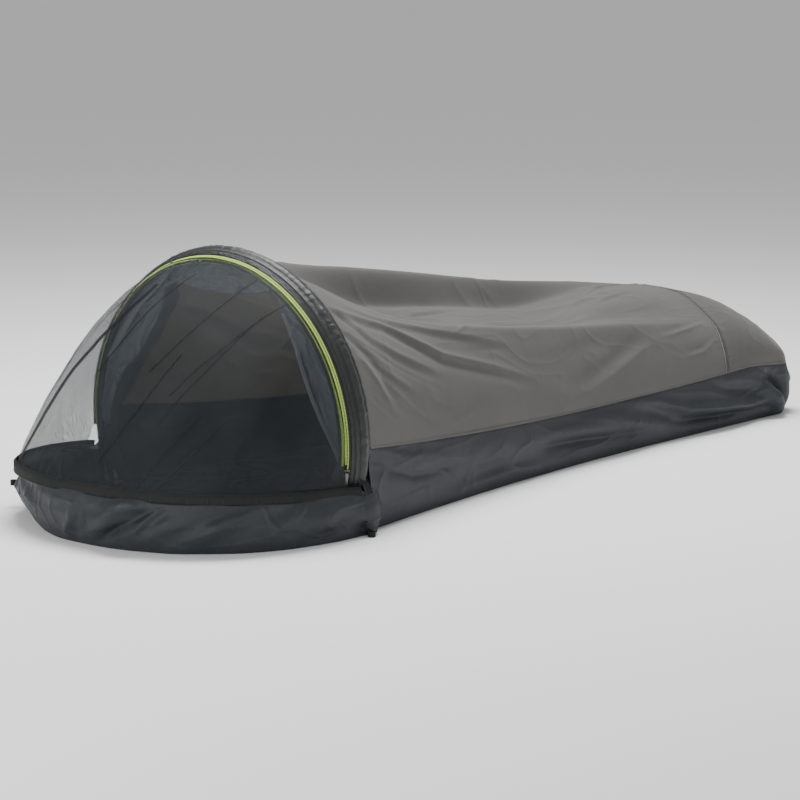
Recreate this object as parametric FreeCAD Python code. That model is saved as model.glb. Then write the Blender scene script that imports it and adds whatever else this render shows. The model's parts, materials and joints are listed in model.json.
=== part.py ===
"""Hooped bivy sack: a waterproof cover with one hoop over the chest and a netting door over the head.

Frame: X runs from head to toe, Y is across, Z is up, in millimetres. The origin is on the ground, in
the middle of the whole object. "Right" is the sleeper's right hand, which is -Y. Distances u run
toe-wards from the hoop. The hoop, its sleeve and its zip are all turned about one axis, so each is a
profile in (u, radius) swept by an angle.
"""

import FreeCAD, Part
import math
import os

V = FreeCAD.Vector

# ---- driving dimensions --------------------------------------------------------------------------
HOOP_X = -647.5  # the hoop's plane; it puts the origin in the middle of the sack
SACK_LENGTH = 1685.0  # hoop to toe
HEAD_LENGTH = 376.0  # hoop to the front of the head wall, at the ground
CLOTH = 2.0  # thickness that every cloth panel is given
SEAM_GAP = 1.2  # left between the floor's sides and the top shell

HOOP_AXIS_Z = 160.0  # height of the hoop's centre
ZIP_RADIUS = 345.0  # the hoop's radius at the pole's centreline and at the zip's outer edge

WIDTH_AT_HOOP = 352.0  # half widths
WIDTH_AT_TOE = 252.0
NARROW_LENGTH = 1150.0  # the sides draw in over this length
TOE_CORNER = 60.0  # plan radius of the toe's corners

WALL_AT_HOOP = 165.0  # height of the floor's upturned sides
WALL_AT_WAIST = 118.0
WALL_AT_TOE = 142.0
WAIST_U = 880.0

RIDGE_AT_HOOP = 505.0
RIDGE_FALL = 238.0
RIDGE_CURVE = 0.85
TOE_DROP = 230.0  # the ridge rounds down to the toe over this length
TOE_DROP_POWER = 2.4

CAP_SEAM_U = 1390.0  # where the toe cap's seam meets the side walls
CAP_SEAM_BOW = 35.0  # how much nearer the toe the seam is at the ridge

HEAD_WIDTH = 353.0
HEAD_POWER = 2.2  # superellipse power of the head wall's foot
BAND_LENGTH = 386.0
BAND_WIDTH = 353.0
BAND_POWER = 2.4
BAND_LOW_FRONT, BAND_HIGH_FRONT = 90.0, 110.0  # heights of the band's two edges at the front
BAND_LOW_HOOP, BAND_HIGH_HOOP = 66.0, 86.0  # and beside the hoop

POLE_U = 20.0  # the pole lies this far behind the zip
POLE_R = 4.5
POLE_BORE = 2.6
POLE_END = -24.2  # angle of the pole's end below the level of the hoop's centre
FERRULE_R = 5.6
FERRULE_LENGTH = 60.0
RUNNING_GAP = 0.05
SLEEVE_R = 8.0
SLEEVE_BORE = 6.4
SLEEVE_WIDTH = 42.0
SLEEVE_END = -12.0

ZIP_U, ZIP_R = -13.8, 334.5  # where the two rows of teeth meet
ZIP_SLANT = (-0.8, -0.6)  # direction of the tapes, from the hoop's side to the door's, in (u, radius)
ZIP_LOW, ZIP_TOP = -9.5, 189.5  # angles between which the hoop's half runs
DOOR_LOW, DOOR_TOP = -4.8, 184.8  # the door's half
TAPE_WIDTH = 12.6
TEETH_R = 1.3
TEETH_AT = 2.0  # each row's distance from the middle of the zip
SLIDER_AT = -7.2
SLIDER_SPAN = 2.4  # degrees
PIN_H = 6.2  # the pull's hinge stands this far above the tapes
PIN_R = 0.9
PULL_LENGTH = 25.0
PULL_HANG = 6.0  # degrees between the tape and the hanging pull

LOOP_REACH = 24.0  # stake loops
LOOP_WIDTH = 15.0
LOOP_SEWN = 7.0  # the part of the reach that is stitched flat
LOOP_SWING_GAP = 2.0
LOOP_HEIGHT = 10.0
HEAD_LOOP_Z = 42.0
HEAD_LOOP_AT = 148.0  # angle round the head, from the right of the hoop
HEAD_LOOP_HEADING = 127.0  # where it points, from +X
WEBBING = 1.6

OUT = "parts"


# ---- shape of the sack ---------------------------------------------------------------------------
def at(u, y, z):
    """A point u behind the hoop."""
    return V(HOOP_X + u, y, z)


def half_width(u):
    """Half the sack's width, u behind the hoop."""
    narrowing = max(0.0, 1 - u / NARROW_LENGTH) ** 2
    width = WIDTH_AT_TOE + (WIDTH_AT_HOOP - WIDTH_AT_TOE) * narrowing
    into_corner = u - (SACK_LENGTH - TOE_CORNER)
    if into_corner > 0:
        width -= TOE_CORNER - math.sqrt(max(0.0, TOE_CORNER**2 - into_corner**2))
    return width


def wall_height(u):
    """Height of the seam between the floor's side and the top shell."""
    if u < WAIST_U:
        return WALL_AT_WAIST + (WALL_AT_HOOP - WALL_AT_WAIST) * (1 - u / WAIST_U) ** 2
    return WALL_AT_WAIST + (WALL_AT_TOE - WALL_AT_WAIST) * ((u - WAIST_U) / (SACK_LENGTH - WAIST_U)) ** 2


def ridge_height(u):
    """Height of the top shell along its middle."""
    ridge = RIDGE_AT_HOOP - RIDGE_FALL * (u / SACK_LENGTH) ** RIDGE_CURVE
    into_toe = max(0.0, u - (SACK_LENGTH - TOE_DROP)) / TOE_DROP
    rise = (ridge - wall_height(u)) * math.sqrt(max(0.0, 1 - into_toe**TOE_DROP_POWER))
    return wall_height(u) + max(rise, 4.0)


def superellipse(length, width, power, angle):
    """A point of the head's plan outline: 0 degrees is beside the hoop on the right, 90 is the front."""
    s, c = math.sin(math.radians(angle)), math.cos(math.radians(angle))
    return -length * abs(s) ** (2 / power), -math.copysign(width * abs(c) ** (2 / power), c)


def spline(points):
    curve = Part.BSplineCurve()
    curve.interpolate(points)
    return curve.toShape()


def strip_wire(outer, inner):
    """Closed wire between two curves given by their points, joined by straight ends."""
    edges = [
        spline(outer),
        Part.makeLine(outer[-1], inner[-1]),
        spline(inner[::-1]),
        Part.makeLine(inner[0], outer[0]),
    ]
    return Part.Wire(edges)


def prism_across(profile, half_span=600.0):
    """Solid from a closed profile of (u, z) points, extruded across the sack."""
    wire = Part.makePolygon([at(u, -half_span, z) for u, z in profile + profile[:1]])
    return Part.Face(wire).extrude(V(0, 2 * half_span, 0))


def box(u0, u1, y0, y1, z0, z1):
    return Part.makeBox(u1 - u0, y1 - y0, z1 - z0, at(u0, y0, z0))


# ---- things turned about the hoop's axis ---------------------------------------------------------
def turned(face, start, end):
    """Sweeps a face drawn at angle 0, beside the right foot, about the hoop's axis."""
    centre, axis = at(0, 0, HOOP_AXIS_Z), V(-1, 0, 0)
    face = face.copy()
    face.rotate(centre, axis, start)
    return face.revolve(centre, axis, end - start)


def profile_face(points):
    """Face from (u, radius) points at angle 0."""
    pts = [at(u, -r, HOOP_AXIS_Z) for u, r in points]
    return Part.Face(Part.makePolygon(pts + pts[:1]))


def disc_face(u, r, radius, bore=0.0):
    centre, normal = at(u, -r, HOOP_AXIS_Z), V(0, 0, 1)
    face = Part.Face(Part.Wire(Part.makeCircle(radius, centre, normal)))
    if bore:
        face = face.cut(Part.Face(Part.Wire(Part.makeCircle(bore, centre, normal))))
    return face


def zip_point(s, h):
    """(u, radius) of a point s across the zip from its middle and h above it."""
    (tu, tr), (nu, nr) = ZIP_SLANT, (ZIP_SLANT[1], -ZIP_SLANT[0])
    return ZIP_U + s * tu + h * nu, ZIP_R + s * tr + h * nr


def zip_face(points):
    """Face at angle 0 from (s, h) points of the zip's cross-section."""
    return profile_face([zip_point(s, h) for s, h in points])


def zip_bar(s0, s1, h0, h1):
    return zip_face([(s0, h0), (s1, h0), (s1, h1), (s0, h1)])


def on_hoop(u, radius, angle):
    """A point of the hoop's surface."""
    a = math.radians(angle)
    return at(u, -radius * math.cos(a), HOOP_AXIS_Z + radius * math.sin(a))


# ---- cloth ---------------------------------------------------------------------------------------
def floor_outline():
    """Points of the floor's edge, from the hoop's right foot round the toe and back round the head."""
    stations = [0, 200, 420, 660, 900, 1150, 1400, 1560, 1625, 1655, 1675, 1685]
    right = [at(u, -half_width(u), 0) for u in stations]
    left = [at(u, half_width(u), 0) for u in stations[::-1]]
    head = []
    for angle in range(172, 0, -12):
        u, y = superellipse(HEAD_LENGTH, HEAD_WIDTH, HEAD_POWER, angle)
        head.append(at(u, y, 0))
    return right, left, head


def floor_panel():
    right, left, head = floor_outline()
    edges = [spline(right), Part.makeLine(right[-1], left[0]), spline(left)]
    edges.append(spline([left[-1]] + head + [right[0]]))
    return Part.Face(Part.Wire(edges)).extrude(V(0, 0, CLOTH))


def side_wall(side):
    """One upturned side of the floor, from behind the hoop to the toe's corner."""
    sections = []
    for u in (SLEEVE_WIDTH, 250, 500, 750, 1000, 1250, 1450, SACK_LENGTH - TOE_CORNER):
        outer, inner = side * half_width(u), side * (half_width(u) - CLOTH)
        top = wall_height(u) - SEAM_GAP
        corners = [at(u, outer, CLOTH), at(u, outer, top), at(u, inner, top), at(u, inner, CLOTH)]
        sections.append(Part.makePolygon(corners + corners[:1]))
    return Part.makeLoft(sections, True, False)


def foot_wall():
    """The floor's end at the toe, with round corners, cut down to the seam's height."""
    start, end, wide = SACK_LENGTH - TOE_CORNER, SACK_LENGTH, half_width(SACK_LENGTH - TOE_CORNER)

    def corner_path(inset):
        r, w, e = TOE_CORNER - inset, wide - inset, end - inset
        swing = r * math.sqrt(0.5)
        arcs = []
        for side in (-1, 1):
            first, last = at(start, side * w, CLOTH), at(e, side * (w - r), CLOTH)
            middle = at(start + swing, side * (w - r + swing), CLOTH)
            arcs.append(Part.Arc(first, middle, last).toShape())
        across = Part.makeLine(at(e, -(w - r), CLOTH), at(e, w - r, CLOTH))
        return [arcs[0], across, arcs[1]]

    ends = [Part.makeLine(at(start, s * wide, CLOTH), at(start, s * (wide - CLOTH), CLOTH)) for s in (-1, 1)]
    edges = Part.__sortEdges__(corner_path(0) + corner_path(CLOTH) + ends)
    tall = Part.Face(Part.Wire(edges)).extrude(V(0, 0, WALL_AT_TOE + 20))
    low, high = wall_height(start) - SEAM_GAP, wall_height(end) - SEAM_GAP
    above = [(start - 1, low), (end + 1, high), (end + 1, 300), (start - 1, 300)]
    return tall.cut(prism_across(above))


def shell_section(u):
    """Thin arch over the sack at u: outer and inner curves and the two edges along the seam."""
    def arch(inset):
        wide, foot, top = half_width(u) - inset, wall_height(u), ridge_height(u) - inset
        angles = [math.radians(a) for a in range(0, 181, 15)]
        return [at(u, -wide * math.cos(a), foot + (top - foot) * math.sin(a)) for a in angles]

    return strip_wire(arch(0), arch(CLOTH))


def whole_top():
    stations = (SLEEVE_WIDTH, 230, 450, 700, 950, 1200, 1380, 1480, 1560, 1610, 1645, 1668, 1680, 1684.5)
    return Part.makeLoft([shell_section(u) for u in stations], True, False)


def cap_cutter():
    """Everything toe-wards of the toe cap's seam, which is bowed in plan."""
    def seam(y):
        return at(CAP_SEAM_U + CAP_SEAM_BOW * (1 - (y / WIDTH_AT_TOE) ** 2), y, 0)

    edge = [seam(y) for y in (-300, -150, 0, 150, 300)]
    far = [at(SACK_LENGTH + 50, 300, 0), at(SACK_LENGTH + 50, -300, 0)]
    outline = [spline(edge), Part.makePolygon([edge[-1]] + far + [edge[0]])]
    edges = [e for shape in outline for e in shape.Edges]
    return Part.Face(Part.Wire(Part.__sortEdges__(edges))).extrude(V(0, 0, 600))


def head_ring(length, width, power, thickness, z):
    """Closed plan wire of a thin wall round the head, at height z."""
    angles = [0, 4, 10, 20, 30, 42, 54, 66, 78, 90]
    angles += [180 - a for a in angles[-2::-1]]

    def side(inset):
        points = []
        for a in angles:
            u, y = superellipse(length - inset, width - inset, power, a)
            points.append(at(u, y, z))
        return points

    return strip_wire(side(0), side(thickness))


def head_wall():
    """The floor's upturned end round the head, leaning out a little towards the band."""
    rings = [
        head_ring(HEAD_LENGTH, HEAD_WIDTH, HEAD_POWER, CLOTH, CLOTH),
        head_ring(BAND_LENGTH + 4, HEAD_WIDTH + 4, BAND_POWER, CLOTH, 55.0),
        head_ring(BAND_LENGTH, BAND_WIDTH, BAND_POWER, CLOTH, 120.0),
    ]
    tall = Part.makeLoft(rings, True, False)
    above = [(-450, band_line(-450, False)), (60, band_line(60, False)), (60, 200), (-450, 200)]
    return tall.cut(prism_across(above))


def band_line(u, upper):
    """Height of the band's upper or lower edge."""
    front, hoop = (BAND_HIGH_FRONT, BAND_HIGH_HOOP) if upper else (BAND_LOW_FRONT, BAND_LOW_HOOP)
    return hoop + (front - hoop) * (-u / BAND_LENGTH)


def front_band():
    """Stiff flap on the head wall's rim, over the foot of the netting door."""
    ring = Part.Face(head_ring(BAND_LENGTH + 1, BAND_WIDTH + 1, BAND_POWER, 3.0, 40.0))
    slab = [(-450, band_line(-450, False)), (60, band_line(60, False))]
    slab += [(60, band_line(60, True)), (-450, band_line(-450, True))]
    return ring.extrude(V(0, 0, 110)).common(prism_across(slab))


def hoop_gusset(side):
    """Narrow upright panel that closes the gap between head wall and side wall, outside the pole's foot."""
    y0, y1 = sorted((side * (WIDTH_AT_HOOP - 1.0), side * (WIDTH_AT_HOOP - 1.0 - CLOTH)))
    return box(0.5, SLEEVE_WIDTH - 0.5, y0, y1, CLOTH, 92.0)


def storm_door():
    """The solid door, gathered back inside the hoop and tied at two places."""
    outer_radius, front, depth = 330.0, 5.0, 10.0
    tip, tie_y, tie_z = -4.0, 150.0, 437.0
    right_tip = on_hoop(front, outer_radius, tip)
    left_tip = on_hoop(front, outer_radius, 180 - tip)
    arc = Part.Arc(right_tip, on_hoop(front, outer_radius, 90), left_tip).toShape()
    inner = [left_tip, at(front, 305, 190), at(front, 258, 292), at(front, tie_y, tie_z)]
    inner += [at(front, -tie_y, tie_z), at(front, -240, 262), right_tip]
    edges = [arc] + Part.makePolygon(inner).Edges
    return Part.Face(Part.Wire(Part.__sortEdges__(edges))).extrude(V(depth, 0, 0))


def tie_strap(side):
    """Elastic strap round the gathered door."""
    y0, y1 = sorted((side * 137.0, side * 143.0))
    outer = box(2.5, 17.5, y0, y1, 434.0, 462.5)
    return outer.cut(box(4.5, 15.5, y0, y1, 436.0, 460.8))


def toggle(side):
    """Barrel toggle in front of the strap."""
    length, radius = 18.0, 3.0
    barrel = Part.makeCylinder(radius, length, at(-4.0, side * 140.0 - length / 2, 440.0), V(0, 1, 0))
    return barrel.makeFillet(1.2, [e for e in barrel.Edges if e.Curve.TypeId == "Part::GeomCircle"])


def netting_rib(angle):
    """Closed thin wire from the zip down to the band, at one angle of the hoop."""
    share = (angle - DOOR_LOW) / (DOOR_TOP - DOOR_LOW)
    u, y = superellipse(BAND_LENGTH - 2.5, BAND_WIDTH - 2.5, BAND_POWER, 4 + 172 * share)
    foot = at(u, y, band_line(u, True) + 1.0)
    head = on_hoop(*zip_point(8.0, 3.0), angle)
    along = foot - head
    outward = (head + foot) * 0.5 - at(-60.0, 0, 60.0)
    outward = outward - along * (outward.dot(along) / along.dot(along))
    outward.normalize()
    bulge = 0.05 * along.Length
    middle = (head + foot) * 0.5 + outward * bulge
    half = outward * (CLOTH / 2)
    return strip_wire([p + half for p in (head, middle, foot)], [p - half for p in (head, middle, foot)])


def netting_panel():
    angles = [DOOR_LOW + (DOOR_TOP - DOOR_LOW) * i / 16 for i in range(17)]
    return Part.makeLoft([netting_rib(a) for a in angles], True, False)


# ---- hoop pole -----------------------------------------------------------------------------------
def pole_angles():
    """Angles at which the pole's four sections start and end."""
    total = 180 - 2 * POLE_END
    return [POLE_END + total * i / 4 for i in range(5)]


def arc_angle(length):
    return math.degrees(length / ZIP_RADIUS)


def pole_sections():
    cuts = pole_angles()
    gap = arc_angle(0.4)
    tube = disc_face(POLE_U, ZIP_RADIUS, POLE_R, POLE_BORE)
    return [turned(tube, a + gap, b - gap) for a, b in zip(cuts, cuts[1:])]


def ferrules():
    half = arc_angle(FERRULE_LENGTH) / 2
    tube = disc_face(POLE_U, ZIP_RADIUS, FERRULE_R, POLE_R + RUNNING_GAP)
    return [turned(tube, a - half, a + half) for a in pole_angles()[1:-1]]


def pole_tip(left):
    """Turned end plug: a shoulder against the pole's end and a pin through the grommet."""
    shoulder = turned(disc_face(POLE_U, ZIP_RADIUS, POLE_R), POLE_END - 0.75, POLE_END)
    pin = turned(disc_face(POLE_U, ZIP_RADIUS, 2.4), POLE_END - 2.1, POLE_END - 0.75)
    tip = shoulder.fuse(pin).removeSplitter()
    return mirrored(tip) if left else tip


def grommet(left):
    ring = turned(disc_face(POLE_U, ZIP_RADIUS, 6.5, 2.9), POLE_END - 1.85, POLE_END - 1.45)
    return mirrored(ring) if left else ring


def pole_pocket(left):
    """Webbing tab that carries the grommet under the pole's end."""
    plate = profile_face([(POLE_U - 11, 334), (POLE_U + 11, 334), (POLE_U + 11, 350), (POLE_U - 11, 350)])
    plate = plate.cut(disc_face(POLE_U, ZIP_RADIUS, 3.0))
    tab = turned(plate, POLE_END - 1.41, POLE_END - 1.16)
    return mirrored(tab) if left else tab


def pole_strap(left):
    """Webbing down the outside of the hoop's foot, from the sleeve's end to the ground."""
    top, bottom, inner = 96.0, 1.0, WIDTH_AT_HOOP + 4.6
    strap = box(10.0, 30.0, -inner - WEBBING, -inner, bottom, top)
    return mirrored(strap) if left else strap


def mirrored(shape):
    """The same shape on the other side of the sack."""
    return shape.mirror(V(0, 0, 0), V(0, 1, 0))


def hoop_sleeve():
    """Cloth band over the hoop, with the tube that the pole slides through."""
    r0, r1 = ZIP_RADIUS - 0.8, ZIP_RADIUS + 0.8
    start, end = SLEEVE_END, 180 - SLEEVE_END
    band = turned(profile_face([(0, r0), (0, r1), (SLEEVE_WIDTH, r1), (SLEEVE_WIDTH, r0)]), start, end)
    tube = turned(disc_face(POLE_U, ZIP_RADIUS, SLEEVE_R), start, end)
    bore = turned(disc_face(POLE_U, ZIP_RADIUS, SLEEVE_BORE), start - 1, end + 1)
    return band.fuse(tube).cut(bore)


# ---- zip -----------------------------------------------------------------------------------------
def zip_half(side, start, end):
    """Tape and row of teeth of one half: -1 is sewn to the hoop's sleeve, 1 to the netting."""
    edge = TEETH_AT + TEETH_R + 0.05
    s0, s1 = sorted((side * edge, side * (edge + TAPE_WIDTH)))
    teeth = disc_face(*zip_point(side * TEETH_AT, 0.0), TEETH_R)
    return turned(zip_bar(s0, s1, -0.5, 0.5), start, end), turned(teeth, start, end)


def slider():
    """Slider: two flanged plates joined between the rows of teeth, and two lugs with the pull's pin."""
    lip, plate, inside = (4.2, 5.4), (1.9, 3.3), 0.9
    start, end = SLIDER_AT - SLIDER_SPAN / 2, SLIDER_AT + SLIDER_SPAN / 2
    body = turned(zip_bar(-0.4, 0.4, -plate[0] - 0.2, plate[0] + 0.2), start, end)
    for face in (1, -1):
        h0, h1 = sorted((face * plate[0], face * plate[1]))
        body = body.fuse(turned(zip_bar(-lip[1], lip[1], h0, h1), start, end))
        h0, h1 = sorted((face * inside, face * plate[1]))
        for s0, s1 in (lip, (-lip[1], -lip[0])):
            body = body.fuse(turned(zip_bar(s0, s1, h0, h1), start, end))
    lug_half = math.degrees(1.8 / ZIP_R)
    for s0, s1 in ((3.0, 4.4), (-4.4, -3.0)):
        lug = zip_bar(s0, s1, plate[1] - 0.2, PIN_H + 1.5)
        body = body.fuse(turned(lug, SLIDER_AT - lug_half, SLIDER_AT + lug_half))
    return body.fuse(on_slider(pin_along(4.4, PIN_R))).removeSplitter()


def pin_along(half_length, radius):
    """Cylinder on the pull's hinge axis, at angle 0."""
    (u0, r0), (u1, r1) = zip_point(-half_length, PIN_H), zip_point(half_length, PIN_H)
    start, finish = at(u0, -r0, HOOP_AXIS_Z), at(u1, -r1, HOOP_AXIS_Z)
    return Part.makeCylinder(radius, 2 * half_length, start, finish - start)


def on_slider(shape):
    shape = shape.copy()
    shape.rotate(at(0, 0, HOOP_AXIS_Z), V(-1, 0, 0), SLIDER_AT)
    return shape


def hung(shape):
    """Tilts a piece drawn along the tape about the pull's pin, so that it hangs plumb."""
    (u0, r0), (tu, tr) = zip_point(0, PIN_H), ZIP_SLANT
    shape = shape.copy()
    shape.rotate(at(u0, -r0, HOOP_AXIS_Z), V(tu, -tr, 0), PULL_HANG)
    return on_slider(shape)


def slider_pull():
    """Flat tab with a thicker eye round the slider's pin and a hole for its cord."""
    eye = zip_bar(-2.7, 2.7, PIN_H - 1.5, PIN_H + 1.5).extrude(V(0, 0, 4.4))
    eye.translate(V(0, 0, -2.6))
    tab = zip_bar(-2.7, 2.7, PIN_H - 0.8, PIN_H + 0.8).extrude(V(0, 0, PULL_LENGTH))
    tab.translate(V(0, 0, -PULL_LENGTH))
    (u0, r0), (nu, nr) = zip_point(0, PIN_H - 3), (ZIP_SLANT[1], -ZIP_SLANT[0])
    cord_hole = Part.makeCylinder(1.5, 6, at(u0, -r0, HOOP_AXIS_Z - PULL_LENGTH + 3.0), V(nu, -nr, 0))
    pull = eye.fuse(tab).removeSplitter().cut(pin_along(6.0, PIN_R + RUNNING_GAP))
    return hung(pull.cut(cord_hole))


def pull_cord():
    """Small ring of cord through the pull's hole."""
    (u0, r0), (tu, tr) = zip_point(0, PIN_H), ZIP_SLANT
    return hung(Part.makeTorus(4.0, 1.0, at(u0, -r0, HOOP_AXIS_Z - PULL_LENGTH - 1.0), V(tu, -tr, 0)))


def zip_stops():
    stop = zip_bar(-4.6, 0.4, -1.7, 1.7)
    return Part.makeCompound([turned(stop, ZIP_LOW - 0.7, ZIP_LOW), turned(stop, ZIP_TOP, ZIP_TOP + 0.7)])


# ---- loops ---------------------------------------------------------------------------------------
def tear_drop(base, base_half, reach, radius):
    """Plan of a loop: a narrow base at x = base that widens to a round end whose tip is at reach."""
    centre = reach - radius
    away = math.hypot(centre - base, base_half)
    turn = math.asin(radius / away) - math.atan2(base_half, centre - base)
    length = math.sqrt(away**2 - radius**2)
    touch = (base + length * math.cos(turn), base_half + length * math.sin(turn))
    right, left = V(touch[0], -touch[1], 0), V(touch[0], touch[1], 0)
    edges = [Part.Arc(right, V(reach, 0, 0), left).toShape(), Part.makeLine(left, V(base, base_half, 0))]
    if base_half > 0:
        edges.append(Part.makeLine(V(base, base_half, 0), V(base, -base_half, 0)))
    edges.append(Part.makeLine(V(base, -base_half, 0), right))
    return Part.Face(Part.Wire(edges)).extrude(V(0, 0, LOOP_HEIGHT))


def stake_loop():
    """Webbing loop standing on edge, reaching along +X from the origin."""
    outside = tear_drop(0.0, WEBBING, LOOP_REACH, LOOP_WIDTH / 2)
    return outside.cut(tear_drop(LOOP_SEWN, 0.0, LOOP_REACH - WEBBING, LOOP_WIDTH / 2 - WEBBING))


def placed_loop(place, heading):
    """A stake loop sewn on at place, pointing along heading degrees from +X."""
    loop = stake_loop()
    loop.rotate(V(0, 0, 0), V(0, 0, 1), heading)
    loop.translate(place)
    return loop


def loops():
    out = WIDTH_AT_HOOP + 4.6 + WEBBING + LOOP_SWING_GAP
    head_u, head_y = superellipse(BAND_LENGTH + 8, HEAD_WIDTH + 8, BAND_POWER, HEAD_LOOP_AT)
    return {
        "stake_loop_right": placed_loop(at(20, -out, 0), -125),
        "stake_loop_left": placed_loop(at(20, out, 0), 125),
        "stake_loop_head": placed_loop(at(head_u, head_y, HEAD_LOOP_Z), HEAD_LOOP_HEADING),
    }


# ---- all pieces ----------------------------------------------------------------------------------
def pieces():
    top, cutter = whole_top(), cap_cutter()
    hoop_tape, hoop_teeth = zip_half(-1, ZIP_LOW, ZIP_TOP)
    door_tape, door_teeth = zip_half(1, DOOR_LOW, DOOR_TOP)
    made = {
        "floor_panel": floor_panel(),
        "side_wall_right": side_wall(-1),
        "side_wall_left": side_wall(1),
        "foot_wall": foot_wall(),
        "head_wall": head_wall(),
        "front_band": front_band(),
        "hoop_gusset_right": hoop_gusset(-1),
        "hoop_gusset_left": hoop_gusset(1),
        "top_shell": top.cut(cutter),
        "toe_cap": top.common(cutter),
        "storm_door": storm_door(),
        "netting_panel": netting_panel(),
        "hoop_sleeve": hoop_sleeve(),
        "shock_cord": turned(disc_face(POLE_U, ZIP_RADIUS, 1.5), POLE_END + 0.2, 180 - POLE_END - 0.2),
        "zip_tape_hoop": hoop_tape,
        "zip_teeth_hoop": hoop_teeth,
        "zip_teeth_door": door_teeth,
        "zip_tape_door": door_tape,
        "zip_end_stops": zip_stops(),
        "zip_slider": slider(),
        "zip_pull": slider_pull(),
        "pull_cord": pull_cord(),
    }
    for number, section in enumerate(pole_sections(), 1):
        made[f"pole_section_{number}"] = section
    for number, tube in enumerate(ferrules(), 1):
        made[f"pole_ferrule_{number}"] = tube
    for name, left, side in (("right", False, -1), ("left", True, 1)):
        made[f"pole_tip_{name}"] = pole_tip(left)
        made[f"grommet_{name}"] = grommet(left)
        made[f"pole_pocket_{name}"] = pole_pocket(left)
        made[f"pole_strap_{name}"] = pole_strap(left)
        made[f"tie_strap_{name}"] = tie_strap(side)
        made[f"toggle_{name}"] = toggle(side)
    made.update(loops())
    return made


def main():
    os.makedirs(OUT, exist_ok=True)
    low, high = [1e9] * 3, [-1e9] * 3
    for name, shape in pieces().items():
        if not shape.isValid():
            print("not valid:", name)
        bound = shape.BoundBox
        low = [min(a, b) for a, b in zip(low, (bound.XMin, bound.YMin, bound.ZMin))]
        high = [max(a, b) for a, b in zip(high, (bound.XMax, bound.YMax, bound.ZMax))]
        shape.exportStep(os.path.join(OUT, name + ".step"))
    print("box from", [round(v, 1) for v in low], "to", [round(v, 1) for v in high])


main()
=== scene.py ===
"""Looks of the hooped bivy sack: cloth panels, netting, storm door, zip, webbing, light and camera.

Everything is in metres in the CAD's frame. u runs from the hoop's plane towards the toe. Things on
the hoop are placed by (u, radius, angle) about its axis, with angle 0 at the sleeper's right (-Y)
and 90 at the top.
"""

import json
import math

import bpy
import numpy as np
from mathutils import Matrix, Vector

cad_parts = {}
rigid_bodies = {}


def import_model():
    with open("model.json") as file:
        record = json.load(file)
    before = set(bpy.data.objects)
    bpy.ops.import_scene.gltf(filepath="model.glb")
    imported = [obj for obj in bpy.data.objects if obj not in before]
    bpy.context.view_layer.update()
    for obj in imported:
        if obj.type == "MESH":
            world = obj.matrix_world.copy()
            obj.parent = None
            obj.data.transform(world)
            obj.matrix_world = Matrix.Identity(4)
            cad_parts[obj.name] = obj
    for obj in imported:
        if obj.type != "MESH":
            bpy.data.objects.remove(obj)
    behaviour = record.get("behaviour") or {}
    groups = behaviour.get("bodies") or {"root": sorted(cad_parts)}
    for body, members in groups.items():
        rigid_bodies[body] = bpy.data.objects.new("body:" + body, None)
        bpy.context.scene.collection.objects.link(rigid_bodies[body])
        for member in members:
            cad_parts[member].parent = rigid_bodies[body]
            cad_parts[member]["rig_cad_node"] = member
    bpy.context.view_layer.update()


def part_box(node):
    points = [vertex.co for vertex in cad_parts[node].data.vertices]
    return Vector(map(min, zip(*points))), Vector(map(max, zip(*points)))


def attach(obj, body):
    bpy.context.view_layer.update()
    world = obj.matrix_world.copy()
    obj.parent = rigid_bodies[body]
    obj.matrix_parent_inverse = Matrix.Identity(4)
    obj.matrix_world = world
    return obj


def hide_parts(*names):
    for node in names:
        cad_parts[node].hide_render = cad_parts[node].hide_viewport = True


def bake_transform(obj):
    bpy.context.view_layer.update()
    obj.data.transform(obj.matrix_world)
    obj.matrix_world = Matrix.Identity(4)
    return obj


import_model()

# ---- the sack's dimensions
HOOP_X, AXIS_Z, HOOP_R = -0.6475, 0.160, 0.345  # the hoop's plane, its axis' height and its radius
SACK, HEAD, TOE_CORNER = 1.685, 0.376, 0.060  # lengths each side of the hoop, radius at the toe
POLE_U = 0.020
ZIP_U, ZIP_R = -0.0138, 0.3345
BAND_LENGTH, BAND_WIDTH, BAND_POWER = 0.386, 0.353, 2.4  # outline of the head wall's rim
DOOR_LOW, DOOR_TOP = -4.8, 184.8  # angles where the door's half of the zip starts and ends
ZIP_LOW, ZIP_TOP = -9.5, 189.5  # the same for the hoop's half
SIDE = 1.625  # the sides' straight length, hoop to toe corner
LOOP_ROOT = -0.232, 0.315, 0.047  # (u, y, z) of the head's stake loop
WALL_LOWEST = 0.880  # u where the floor's sides are lowest
CLOTH, THIN_CLOTH = 0.0008, 0.0007  # thickness of the floor's sides and of the shell
DOOR = {"body": "netting_door"}
TIE_Y = 0.140  # the storm door's ties, right and left of the middle
SIDES = ("right", -1), ("left", 1)


def ease(x, low, high):
    """Smooth step from 0 at low to 1 at high."""
    t = np.clip((x - low) / (high - low), 0, 1)
    return t * t * (3 - 2 * t)


def half_width(u):
    """Half of the sack's width on the ground."""
    wide = 0.252 + 0.100 * np.maximum(0, 1 - u / 1.150) ** 2
    corner = np.clip(u - (SACK - TOE_CORNER), 0, TOE_CORNER)
    return wide - (TOE_CORNER - np.sqrt(TOE_CORNER**2 - corner**2))


def wall_height(u):
    """Height of the seam between the floor's sides and the shell."""
    head = 0.118 + 0.047 * (1 - u / WALL_LOWEST) ** 2
    toe = 0.118 + 0.024 * ((u - WALL_LOWEST) / (SACK - WALL_LOWEST)) ** 2
    return np.where(u < WALL_LOWEST, head, toe) - 0.020 * ease(u, 1.46, SACK)


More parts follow.
